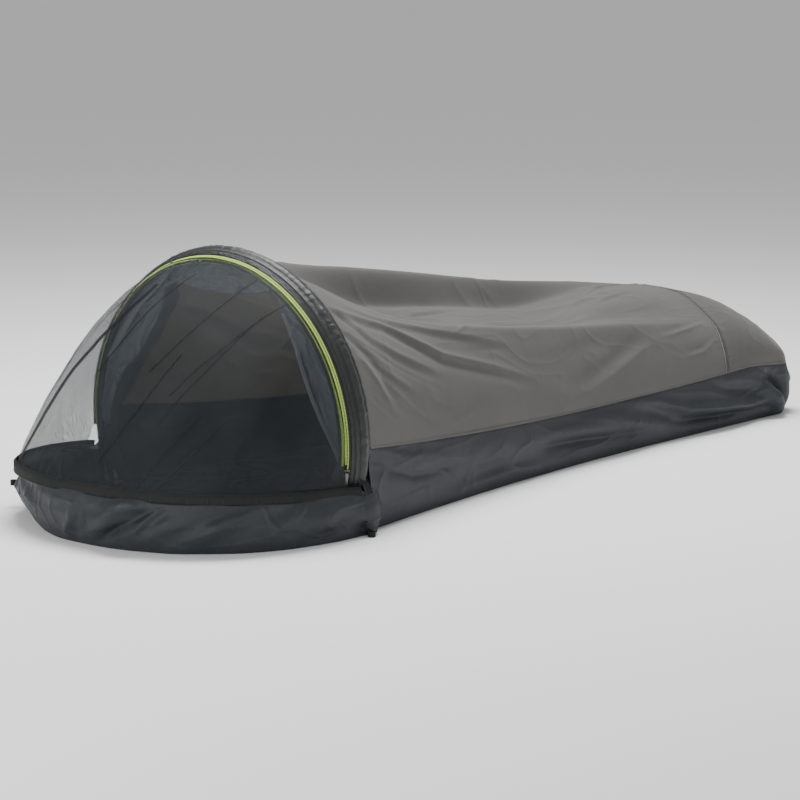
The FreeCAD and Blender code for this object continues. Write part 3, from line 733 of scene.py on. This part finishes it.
def top_relief(u, angle):
    """How far the cloth stands off the smooth arch: tension folds from the hoop, slack, crumple."""
    at = stack(u, angle * DEGREE)
    slack = np.sin(np.clip(u / 1.2, 0, 1) * math.pi)
    d = 0.0040 * field(at * (0.5, 1.2), 0.30, 61) + 0.0012 * (creased(at * (0.5, 1.0), 0.16, 63) - 0.3)
    listed = [
        # path of (u, degrees), height, width, the hollow's side and depth
        (
            [(0.03, 66), (0.195, 60), (0.254, 54), (0.408, 44), (0.626, 41), (0.973, 40), (1.37, 37)],
            *(0.013, 0.030),
        ),
        ([(0.02, 78), (0.16, 77), (0.40, 70), (0.62, 66)], 0.0060, 0.012),
        ([(0.02, 51), (0.206, 45), (0.289, 37.5), (0.36, 31), (0.52, 25), (0.66, 18)], 0.0070, 0.009, -1, 0.9),
        ([(0.10, 54), (0.24, 48), (0.40, 41), (0.60, 34)], 0.0035, 0.008, -1),
        ([(0.04, 40), (0.12, 25.7), (0.21, 16)], -0.0036, 0.008),
        ([(0.05, 33), (0.10, 22), (0.14, 10)], 0.0040, 0.009),
        ([(0.06, 50), (0.13, 35)], -0.0035, 0.008),
        ([(0.12, 39), (0.20, 32), (0.33, 24)], 0.0050, 0.009, -1),
        ([(1.13, 28), (0.97, 15), (0.77, 3)], 0.0090, 0.016, -1, 0.9),
        ([(0.62, 55), (0.80, 52), (1.02, 54)], 0.0050, 0.013),
        ([(0.55, 64), (0.66, 60), (0.74, 62)], 0.0040, 0.009),
        ([(0.84, 76), (1.02, 70), (1.20, 74)], 0.0045, 0.013),
        ([(1.18, 30), (1.30, 34), (1.38, 38)], 0.0045, 0.008),
        ([(1.24, 16), (1.32, 18), (1.385, 26)], 0.0040, 0.008),
        ([(0.24, 8), (0.34, 5), (0.46, 9)], 0.0030, 0.009),
        ([(0.02, 115), (0.22, 124), (0.46, 136), (0.80, 141), (1.37, 142)], 0.012, 0.030, -1),
        ([(0.02, 134), (0.20, 140), (0.36, 151), (0.62, 160)], 0.0090, 0.013),
        ([(0.03, 98), (0.16, 104), (0.34, 106)], 0.0045, 0.012),
        ([(0.05, 150), (0.14, 160), (0.24, 168)], -0.0055, 0.010),
        ([(1.10, 156), (0.92, 168), (0.76, 176)], 0.0080, 0.017),
        ([(0.70, 122), (0.92, 118), (1.15, 120)], 0.0045, 0.016),
    ]
    d = add_folds(d, at, [(in_metres(path), *rest) for path, *rest in listed])
    rng = np.random.RandomState(71)
    for _ in range(30):
        start, reach = rng.uniform(14, 88), rng.uniform(0.10, 0.42)
        drop = rng.uniform(18, 34) * reach / 0.3 * math.cos(math.radians(start - 20))
        path = [(0.03, start), (0.03 + 0.5 * reach, start - 0.58 * drop), (0.03 + reach, start - drop)]
        if rng.rand() < 0.4:
            path = [(u, 180 - angle) for u, angle in path]
        height, width = rng.uniform(-0.0018, 0.0022), rng.uniform(0.003, 0.006)
        d = d + fold(at, in_metres(path), height, width, hollow=0.7)
    for _ in range(26):
        start, turn = rng.uniform((0.35, 18), (1.25, 150)), rng.uniform(-7, 7)
        path = [start, start + (0.09, turn), start + (0.09 + rng.uniform(0.05, 0.16), 1.6 * turn)]
        d = d + fold(at, in_metres(path), rng.uniform(-0.0022, 0.0022), rng.uniform(0.004, 0.008))
    # short puckers along the toe cap's seam
    to_seam = u - cap_seam(angle)
    puckers = np.sin(angle * DEGREE * 2 * math.pi / 0.034 + 2.2 * field(at, 0.06, 67))
    d = d + 0.0013 * puckers * np.exp(-((to_seam / 0.028) ** 2)) * (0.5 + 0.5 * field(at, 0.10, 69))
    hold = np.clip(u / 0.06, 0, 1) ** 0.7 * np.sin(np.radians(np.clip(angle, 0, 180))) ** 0.35
    return d * hold * (0.75 + 0.25 * slack)


def top_grid(u, angle):
    smooth = top_surface(u, angle)
    out = facing_out(smooth, (HOOP_X + 0.8, 0, 0.1))
    return smooth + out * top_relief(u, angle)[..., None], out


def build_top():
    """The shell and the toe cap, which overlap a little at the cap's seam."""
    angle = np.linspace(0, 180, 260)
    seam = cap_seam(angle)[None]
    share = steps(420)[:, None] ** 1.05
    start = 0.036
    u = start + (seam + 0.004 - start) * share
    grid, out = top_grid(u, np.broadcast_to(angle, u.shape))
    piece = dress(panel("shell_top", grid, out, THIN_CLOTH, SHELL), "shell_cloth", "top_shell")

    share = 1 - (1 - steps(130)[:, None]) ** 1.8
    u = seam - 0.003 + (SACK - 0.0006 - seam + 0.003) * share
    grid, out = top_grid(u, np.broadcast_to(angle, u.shape))
    edge = np.clip((SACK - u) / 0.02, 0, 1)[..., None]
    out = unit(out * edge + (1 - edge) * (1.0, 0, 0))
    grid = grid + out * (0.0008 * np.clip(1 - share * 8, 0, 1))[..., None]
    end = grid[-1:] + (0.0008, 0, 0)  # closes the slit down to the wall
    end[..., 2] = wall_height(SACK) - 0.002
    grid, out = join(grid, end), join(out, out[-1:])
    # the toe cap's cloth carries painted shade
    piece = dress(panel("shell_toe", grid, out, THIN_CLOTH, CAP_PAINTED_SHADE), "shell_cloth", "toe_cap")

    # the seam's two rows of stitches, with neighbouring rows for their normals
    for name, back in (("cap_seam_stitches_1", 0.0035), ("cap_seam_stitches_2", 0.0085)):
        u = seam + back + np.zeros((3, 1)) + np.array([[-0.004], [0.0], [0.004]])
        grid, out = top_grid(u, np.broadcast_to(angle, u.shape))
        stitches(name, grid[1] + out[1] * 0.0010, out[1], THREAD)


def build_wall_seam(line, out):
    """The seam where the shell meets the floor's sides: a narrow fold of cloth, stitched below it."""
    mid = stack(HOOP_X + line[:, 0], line[:, 1], wall_height(line[:, 0]))[3:-3]
    out = unit(stack(*out.T, 0.25))[3:-3]
    ribbon("wall_seam", mid + out * 0.0002, out, 0.0052, 0.0009, SHELL, puff=0.0009)
    stitches("wall_seam_stitches", mid + out * 0.0016 + (0, 0, -0.0052), out, THREAD_DARK)


# ---- hoop sleeve and zip
def build_sleeve():
    """Gathered cloth over the pole: a flat hem by the zip, the tube, and the hem that joins the shell."""
    angle = np.linspace(-21.0, 201.0, 770)
    section = [(-0.0005, 0.3440), (0.0010, 0.3462), (0.0060, 0.3466), (0.0100, 0.3480), (0.0128, 0.3506)]
    section += [(0.0165, 0.3528), (0.0200, 0.3535), (0.0236, 0.3527), (0.0272, 0.3504), (0.0300, 0.3480)]
    section += [(0.0335, 0.3470), (0.0375, 0.3466), (0.0405, 0.3456), (0.0425, 0.3430), (0.0425, 0.3405)]
    section += [(0.0400, 0.3388), (0.0300, 0.3384), (0.0160, 0.3384), (0.0040, 0.3390)]
    fine = steps(55)
    su, sr = (np.interp(fine, steps(len(section)), part) for part in zip(*section))
    a = angle[:, None] + 0 * su
    at = stack(np.radians(a) * HOOP_R, np.cumsum(np.hypot(np.gradient(su), np.gradient(sr))))
    gather = 0.0010 * (creased(at * (1.0, 0.5), 0.030, 81, 2.0) - 0.35)
    gather = gather + 0.0004 * field(at * (1.0, 0.3), 0.016, 83)
    loose = np.sin(np.pi * np.clip(fine * 1.06 - 0.03, 0, 1)) ** 0.6
    grid = on_hoop(su + 0.0006 * field(at, 0.03, 85), sr + gather * loose, a)
    out = facing_out(grid, (HOOP_X + 0.02, 0, AXIS_Z))
    piece = dress(panel("pole_sleeve", grid, out, 0.0009, SLEEVE), "binding", "hoop_sleeve")
    for name, u, r in (("sleeve_stitches_1", 0.0085, 0.3484), ("sleeve_stitches_2", 0.0315, 0.3488)):
        out = on_hoop(0, 1.0, angle) - on_hoop(0, 0.0, angle)
        stitches(name, on_hoop(u, r, angle), out, THREAD_DARK)


def zip_teeth(name, side, low, top, node, body="sack"):
    """One row of coil loops, each a small bent bar, that interlocks with the other row."""
    pitch = math.degrees(0.0026 / ZIP_R)
    angles = np.arange(low + 0.3, top - 0.3, pitch) + (pitch / 2 if side > 0 else 0)
    # a loop's outline in mm: across, above, half its thickness
    shape = [(3.3, -0.6, 0.55), (3.3, 0.7, 0.55), (2.0, 1.15, 0.6)]
    shape += [(0.9, 0.95, 0.72), (0.7, 0.0, 0.85), (0.9, -0.8, 0.6)]
    s, h, wide = np.array(shape).T / 1000
    verts, faces = [], []
    k = len(shape)
    for n, a in enumerate(angles):
        for turn in (-1, 1):
            verts.append(on_hoop(*zip_point(side * s, h), a + turn * np.degrees(wide / ZIP_R)))
        near = [2 * k * n + i for i in range(k)]
        far = [i + k for i in near]
        faces += [[near[i], near[(i + 1) % k], far[(i + 1) % k], far[i]] for i in range(k)]
        faces += [near[::-1], far]
    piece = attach(mesh_object(name, join(*verts), faces, COIL, smooth=False), body)
    dress(piece, "zip_teeth", node)


def around_hoop(low, top, count, s, size, seed, stretch=(1, 1)):
    """Angles over a strip along the zip, from low to top and s across, and a faint waviness."""
    a = np.linspace(low, top, count)[:, None] + 0 * s
    return a, 0.00035 * field(stack(np.radians(a) * HOOP_R, s) * stretch, size, seed)


def zip_tape(name, side, low, top, node, material, body="sack"):
    """Woven tape with a raised edge along the coil."""
    s = np.array([3.2, 3.6, 4.2, 6.0, 9.0, 12.0, 15.2, 15.9]) / 1000
    h = np.array([0.0, 0.75, 0.85, 0.55, 0.52, 0.52, 0.50, 0.0]) / 1000
    a, wave = around_hoop(low, top, 560, s, 0.05, 91, (1, 0.3))
    grid = on_hoop(*zip_point(side * s, h + wave), a)
    up = zip_point(0, 1.0)[0] - ZIP_U, zip_point(0, 1.0)[1] - ZIP_R
    out = on_hoop(*up, a) - on_hoop(0, 0, a)
    dress(panel(name, grid, out, 0.0010, material, body), "zip_tape", node)


def zip_binding(name, s0, s1, low, top, lift, body="sack"):
    """Strip of black cloth sewn over a tape with two rows of stitches, from s0 to s1 across the zip."""
    s = np.linspace(s0, s1, 7)
    edge = np.array([0, 1, 1, 1, 1, 1, 0.0])
    a, wave = around_hoop(low, top, 620, s, 0.022, 93)
    grid = on_hoop(*zip_point(s, lift + 0.0004 * edge + wave), a)
    out = on_hoop(-0.6, 0.8, a) - on_hoop(0, 0, a)
    panel(name, grid, out, 0.0005, SLEEVE, body)
    for row, at in (("inner", 0.16), ("outer", 0.80)):
        line = on_hoop(*zip_point(s0 + (s1 - s0) * at, lift + 0.0007), a[:, 0])
        stitches(f"{name}_stitches_{row}", line, out[:, 0], THREAD_DARK, body, pitch=0.0034)


def build_zip():
    hoop, door = (ZIP_LOW, ZIP_TOP), (DOOR_LOW, DOOR_TOP)
    zip_tape("tape_hoop_side", -1, *hoop, "zip_tape_hoop", TAPE_DARK)
    zip_tape("tape_door_side", 1, *door, "zip_tape_door", LIME, **DOOR)
    zip_binding("zip_binding_hoop", -0.0064, -0.0168, ZIP_LOW - 0.6, ZIP_TOP + 0.6, 0.0013)
    zip_binding("zip_binding_door", 0.0105, 0.0166, *door, 0.0007, **DOOR)
    zip_teeth("coil_hoop_side", -1, *hoop, "zip_teeth_hoop")
    zip_teeth("coil_door_side", 1, *door, "zip_teeth_door", **DOOR)


# ---- netting door
def netting_grid(count=360, rows=110):
    """The net's smooth shape, from the zip's tape down to the band, and its length at each angle."""
    share = steps(count)
    head = on_hoop(*zip_point(0.0056, 0.0024), DOOR_LOW + (DOOR_TOP - DOOR_LOW) * share)
    bu, by = rounded(BAND_LENGTH - 0.002, BAND_WIDTH - 0.002, BAND_POWER, 3 + 174 * share)
    foot = stack(HOOP_X + bu, by, band_middle(bu) + 0.006)
    t = steps(rows)[None, :, None]
    along = foot - head
    length = np.linalg.norm(along, axis=1, keepdims=True)
    outward = (head + foot) / 2 - np.array([HOOP_X - 0.06, 0, 0.06])
    outward = unit(outward - along * (outward * along).sum(1, keepdims=True) / length**2)
    bulge = 0.27 * t * (1 - t) * (1.45 - 0.8 * t)
    grid = head[:, None] * (1 - t) + foot[:, None] * t + outward[:, None] * bulge * length[:, None]
    return grid, length


def build_netting():
    grid, length = netting_grid()
    t = steps(grid.shape[1])
    run = distance_along(grid[:, len(t) // 2])
    at = stack(run[:, None], t * length)
    d = 0.0035 * field(at * (0.9, 0.45), 0.16, 101)
    d = d + 0.0012 * (creased(at * (1.0, 0.5), 0.09, 103) - 0.3)
    pin = np.clip(np.minimum(t, 1 - t) / 0.10, 0, 1) ** 0.8
    out = facing_out(grid, (HOOP_X - 0.05, 0, 0.1))
    from_foot = np.minimum(run, run[-1] - run)[:, None]
    slack = 0.006 * np.exp(-((from_foot / 0.05) ** 2)) * np.sin(np.pi * t) ** 0.6
    grid = grid + out * (d * pin - slack)[..., None]
    piece = dress(panel("netting", grid, out, 0.0003, NETTING, None, at), "netting", "netting_panel")
    door_bend(piece)
    return grid, out


def door_bend(piece):
    """Bakes the piece's placement into its mesh."""
    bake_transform(piece)


def strip_on(name, net, start, end, widths, material, lift=0.0008, count=90):
    """A seam laid over the netting, from one (share along, share down) to another."""
    rows = 6
    f = steps(count)
    i, j = ((start[k] + (end[k] - start[k]) * f) * (net[0].shape[k] - 1) for k in (0, 1))
    line, up = (sample(grid, i, j) for grid in net)
    side = unit(np.cross(frames(line), up))
    width = widths[0] + (widths[1] - widths[0]) * f
    across = np.linspace(-0.5, 0.5, rows)[None, :, None] * width[:, None, None]
    strip = line[:, None] + side[:, None] * across + up[:, None] * lift
    door_bend(panel(name, strip, np.repeat(up[:, None], rows, 1), 0.0004, material, None))


def sample(grid, i, j):
    """The grid's value between its rows and columns."""
    i0 = np.clip(i.astype(int), 0, grid.shape[0] - 2)
    j0 = np.clip(j.astype(int), 0, grid.shape[1] - 2)
    fi, fj = (i - i0)[:, None], (j - j0)[:, None]
    near = grid[i0, j0] * (1 - fi) + grid[i0 + 1, j0] * fi
    far = grid[i0, j0 + 1] * (1 - fi) + grid[i0 + 1, j0 + 1] * fi
    return near * (1 - fj) + far * fj


def build_netting_seams(net):
    """The hem and piping at the zip, a slack pleat on the left, and pulled threads where it's taut."""
    strip_on("netting_hem", net, (0.0, 0.007), (1.0, 0.007), (0.0052, 0.0052), HEM, count=620)
    strip_on("netting_piping", net, (0.0, 0.001), (1.0, 0.001), (0.0013, 0.0013), BAND, 0.0011, 620)
    strip_on("netting_pleat", net, (0.560, 0.16), (0.700, 0.99), (0.012, 0.020), PLEAT)
    taut = [((0.308, 0.02), (0.415, 0.62)), ((0.384, 0.03), (0.468, 0.55)), ((0.343, 0.22), (0.409, 0.74))]
    taut += [((0.345, 0.66), (0.393, 0.99)), ((0.300, 0.66), (0.354, 0.98)), ((0.500, 0.10), (0.560, 0.60))]
    taut += [((0.620, 0.08), (0.668, 0.60)), ((0.735, 0.03), (0.760, 0.75)), ((0.430, 0.45), (0.480, 0.92))]
    for number, (start, end) in enumerate(taut, 1):
        strip_on(f"netting_pull_{number}", net, start, end, (0.0024, 0.0034), PULLED)


# ---- storm door, gathered back inside the hoop
def build_storm_door():
    """Loose roll of cloth that fills the space between the hoop and a line tied straight across it."""
    count = 460
    outer = on_hoop(0, 0.331, np.linspace(-3, 183, count))[:, 1:]
    edge = [(-0.312, 0.120), (-0.258, 0.206), (-0.196, 0.333), (-0.148, 0.425), (-0.126, 0.437)]
    edge += [(-0.070, 0.428), (0.0, 0.422), (0.070, 0.428), (0.122, 0.436), (0.151, 0.422)]
    edge += [(0.160, 0.386), (0.178, 0.354), (0.222, 0.290), (0.256, 0.258), (0.290, 0.215)]
    edge += [(0.318, 0.130)]
    inner = resample(resample(edge, 0.004), count=count)
    v = steps(48)
    yz = outer[:, None] * (1 - v[:, None]) + inner[:, None] * v[:, None]
    y, z = yz[..., 0], yz[..., 1]
    middle = yz[:, len(v) // 2]
    wide = np.linalg.norm(outer - inner, axis=1)
    at = stack(distance_along(middle)[:, None], v * wide[:, None])
    from_tie = np.abs(np.abs(y) - TIE_Y)
    pinch = 1 - 0.6 * np.exp(-((from_tie / 0.014) ** 2)) * (z > 0.40)
    room = np.exp(-((from_tie / 0.013) ** 4) - ((z - 0.440) / 0.016) ** 4)  # for the toggles
    leg = ease(np.abs(middle[:, 0]), 0.13, 0.20) * ease(middle[:, 1], 0.13, 0.24)
    arch = np.sin(np.pi * v) ** 0.55
    crumple = 0.010 * (creased(at * (0.42, 1.3), 0.055, 111, 2.4) - 0.4)
    crumple = crumple + 0.004 * field(at * (0.5, 1.0), 0.05, 113)
    fine = 0.0022 * (creased(at * (0.6, 1.2), 0.024, 117, 2.0) - 0.4)
    body = ((0.010 + crumple + fine) * arch) * pinch
    depth = (0.014 + 0.056 * leg[:, None] + 0.5 * crumple) * arch * pinch
    front = stack(HOOP_X + 0.004 - body * (1 - room), y, z)
    back = stack(HOOP_X + 0.008 + depth, y, z)
    ring = np.concatenate([front, back[:, ::-1]], 1)
    rows, cols = ring.shape[:2]
    caps = [face[::-1] for face in end_caps(rows, cols)]
    uv = ring[..., 1:].reshape(-1, 2)
    piece = mesh_object("storm_door_roll", ring, quads(rows, cols, True) + caps, STORM, uv)
    dress(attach(piece, "sack"), "shell_cloth", "storm_door")

    # hem along the gathered edge, on both legs
    right = edge[:3] + [(-0.160, 0.402)]
    left = [(0.108, 0.474), (0.150, 0.436), (0.202, 0.385), (0.262, 0.318), (0.294, 0.270)]
    for name, points, side, lift in (("right", right, -1, 0.004), ("left", left, 1, 0.012)):
        line = resample(points, 0.004)
        wave = 0.003 * np.sin(np.linspace(0, 9, len(line)))
        line = stack(HOOP_X - lift + wave, *line.T) + (0, side * 0.004, 0)
        out = unit(np.tile((-1.0, -side * 0.25, 0.0), (len(line), 1)))
        name = f"storm_hem_{name}"
        ribbon(name, line, out, 0.013, 0.0011, HEM_CLOTH, puff=0.0012)
        stitches(name + "_stitches", line + out * 0.0036 + (0, side * 0.004, 0), out, THREAD)


def build_ties():
    """Elastic loops round the roll and their barrel toggles."""
    # the barrel's half profile in mm: along, radius
    half = [(1.2, 1.9), (2.2, 2.2), (3.4, 2.9), (6.0, 3.0), (7.8, 2.7), (8.8, 1.9), (9.0, 0.6)]
    profile = [(-along, radius) for along, radius in half[::-1]] + half
    along, radius = np.array(profile).T / 1000
    a = np.linspace(0, 2 * math.pi, 48, endpoint=False)
    for name, side in SIDES:
        y = side * TIE_Y
        low, high = (np.array(corner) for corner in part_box(f"tie_strap_{name}"))
        x, _, z = (low + high) / 2
        line = stack(x + 0.0091 * np.cos(a), y + 0.0015 * np.sin(2 * a), z + 0.0165 * np.sin(a))
        piece = tube(f"tie_elastic_{name}", line, 0.0016, CORD, closed=True, sides=8)
        dress(piece, "cord", f"tie_strap_{name}")
        low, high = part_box(f"toggle_{name}")
        line = stack((low[0] + high[0]) / 2, y + along, (low[2] + high[2]) / 2)
        piece = tube(f"barrel_{name}", line, radius, HARD, f"toggle_{name}", sides=20)
        dress(piece, "moulded", f"toggle_{name}")


# ---- webbing and hardware at the hoop's feet
def build_feet():
    """Webbing down the hoop's feet with its bartacks, and a narrower tape beside the zip's end."""
    count = 60
    for name, side in SIDES:

        def at(u, y, z):
            return HOOP_X + u, side * y, z

        def hoop(u, radius, below):
            return on_hoop(u, radius, -below if side < 0 else 180 + below)

        points = [hoop(POLE_U, 0.3490, 9.0), at(0.019, 0.3540, 0.090), at(0.020, 0.3592, 0.074)]
        points += [at(0.021, 0.3606, 0.045), at(0.020, 0.3600, 0.020), at(0.020, 0.3588, 0.002)]
        out = unit(np.tile((0.0, float(side), 0.12), (count, 1)))
        line = smooth_line(points, count)
        piece = ribbon(f"foot_strap_{name}", line, out, 0.019, 0.0016, WEBBING, puff=0.0004)
        dress(piece, "webbing", f"pole_strap_{name}")
        for k, z in enumerate((0.066, 0.058, 0.012)):
            row = stack(*at(0.020 + np.linspace(-0.0075, 0.0075, 6), 0.3622, z))
            out = np.tile((0, float(side), 0), (6, 1))
            stitches(f"foot_bartack_{name}_{k}", row, out, THREAD, pitch=0.003)
        points = [hoop(0.004, 0.3475, 11.0), at(0.004, 0.3570, 0.078), at(0.001, 0.3625, 0.055)]
        points += [at(0.004, 0.3638, 0.036), at(-0.002, 0.3640, 0.017)]
        line = smooth_line(points, count) + 0.0008 * stack(np.sin(np.arange(count) * 1.9), 0, 0)
        out = np.tile((-0.25, float(side), 0.1), (count, 1)) / 1.035
        dress(ribbon(f"foot_tape_{name}", line, out, 0.009, 0.0011, WEBBING), "webbing")


def build_foot_patches():
    """Puckered cloth that closes the corner between the head wall's rim, the zip's end and the hoop."""
    s, t = np.meshgrid(steps(40), steps(40), indexing="ij")
    for name, side in SIDES:
        y_low = side * (0.3455 - 0.006 * (1 - s) ** 2)
        low = stack(HOOP_X - 0.042 + 0.058 * s, y_low, 0.084)
        high = stack(HOOP_X - 0.020 + 0.034 * s, side * 0.3240, 0.140)
        at = stack(low[..., 0], low[..., 2] + 0.05 * t)
        pucker = 0.0025 * (creased(at * (1.0, 0.45), 0.012, 131, 1.6) - 0.4) * np.sin(np.pi * s) ** 0.5
        grid = low * (1 - t[..., None]) + high * t[..., None] + stack(0, side * pucker, 0)
        # room for the slider behind the zip
        behind = 0.992 * (ZIP_R - 0.0085 + 0.75 * (grid[..., 0] - HOOP_X - ZIP_U))
        behind = behind + 0.05 * ease(-grid[..., 2], -0.0870, -0.0840)
        grid[..., 1] = side * np.minimum(side * grid[..., 1], behind)
        out = facing_out(grid, (HOOP_X, 0, 0.1))
        dress(panel(f"foot_patch_{name}", grid, out, 0.0010, SLEEVE), "binding")


def smooth_line(points, count):
    """Points along a smooth curve through a few given ones."""
    p = np.array([np.array(x, float) for x in points])
    p = join([2 * p[0] - p[1]], p, [2 * p[-1] - p[-2]])
    out = []
    for i in range(1, len(p) - 2):
        t = np.linspace(0, 1, 30, endpoint=False)[:, None]
        a, b, c, d = p[i - 1], p[i], p[i + 1], p[i + 2]
        square, cube = 2 * a - 5 * b + 4 * c - d, 3 * b - a - 3 * c + d
        out.append(0.5 * (2 * b + (c - a) * t + square * t**2 + cube * t**3))
    return resample(join(*out, p[-2:-1]), count=count)


def repaint_all():
    """New materials for the CAD nodes that keep their shapes."""
    looks = {ROD: [f"pole_section_{k}" for k in range(1, 5)]}
    looks[ALLOY] = [f"pole_ferrule_{k}" for k in range(1, 4)]
    looks[HARD] = ["pole_tip_right", "pole_tip_left", "zip_end_stops"]
    looks[METAL] = ["grommet_right", "grommet_left", "zip_slider", "zip_pull"]
    looks[WEBBING] = ["pole_pocket_right", "pole_pocket_left"]
    looks[WEBBING] += ["stake_loop_right", "stake_loop_left", "stake_loop_head"]
    looks[CORD] = ["shock_cord", "pull_cord"]
    for material, nodes in looks.items():
        for piece in bpy.data.objects:
            if piece.get("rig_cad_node") in nodes:
                piece.data.materials.clear()
                piece.data.materials.append(material)


# ---- studio
def build_studio():
    m = Nodes("studio_floor")
    patch = m.math("MULTIPLY", m.noise(m.place(), 2.0), 0.1)
    tone = m.mix(patch, (0.86, 0.86, 0.86, 1), (0.84, 0.84, 0.84, 1))
    material = m.done(m.add("BsdfPrincipled", {"Base Color": tone, "Roughness": 0.9}))
    size = 90.0
    verts = [(-size, -size, 0), (size, -size, 0), (size, size, 0), (-size, size, 0)]
    mesh_object("studio_floor", verts, [(0, 1, 2, 3)], material, smooth=False)

    world = bpy.data.worlds.new("studio")
    bpy.context.scene.world = world
    world.use_nodes = True
    sky = world.node_tree.nodes["Background"].inputs
    sky[0].default_value, sky[1].default_value = (1.0, 1.0, 1.0, 1), 0.54

    lamps = [("key", (0.3, 0.4, 3.2), (0, 0, 0.2), (2.2, 1.2), 195)]
    lamps += [("fill", (-3.6, -0.5, 1.2), (-0.6, 0, 0.2), (2.0, 2.0), 55)]
    for name, place, target, size, power in lamps:
        lamp = link(name, bpy.data.lights.new(name, "AREA"))
        lamp.data.shape, lamp.data.energy = "RECTANGLE", power
        lamp.data.size, lamp.data.size_y = size
        lamp.matrix_world = look(place, np.subtract(place, target))


def look(place, back, roll=0.0):
    """Matrix of a camera or lamp at place that looks against back."""
    back = np.array(back, float) / np.linalg.norm(back)
    right = unit(np.cross((0, 0, 1.0), back))
    up = np.cross(back, right)
    c, s = math.cos(roll), math.sin(roll)
    right, up = c * right + s * up, c * up - s * right
    m = np.eye(4)
    m[:3] = np.stack([right, up, back, place], -1)
    return Matrix(m.tolist())


def build_camera():
    azimuth, elevation, distance = math.radians(-50.04), math.radians(9.85), 5.5
    target = np.array([HOOP_X + 0.5365, 0, 0.1464])
    level = math.cos(elevation)
    back = np.array([math.sin(azimuth) * level, -math.cos(azimuth) * level, math.sin(elevation)])
    camera = link("camera", bpy.data.cameras.new("camera"))
    camera.data.sensor_width, camera.data.lens, camera.data.clip_end = 36.0, 118.6, 100
    camera.matrix_world = look(target + back * distance, back, math.radians(0.26))
    bpy.context.scene.camera = camera


outline, outward = build_sides()
base_line = build_head()
build_band()
build_floor(base_line)
build_top()
build_wall_seam(outline, outward)
build_sleeve()
build_zip()
build_netting_seams(build_netting())
build_storm_door()
build_ties()
build_feet()
build_foot_patches()
repaint_all()
build_studio()
build_camera()
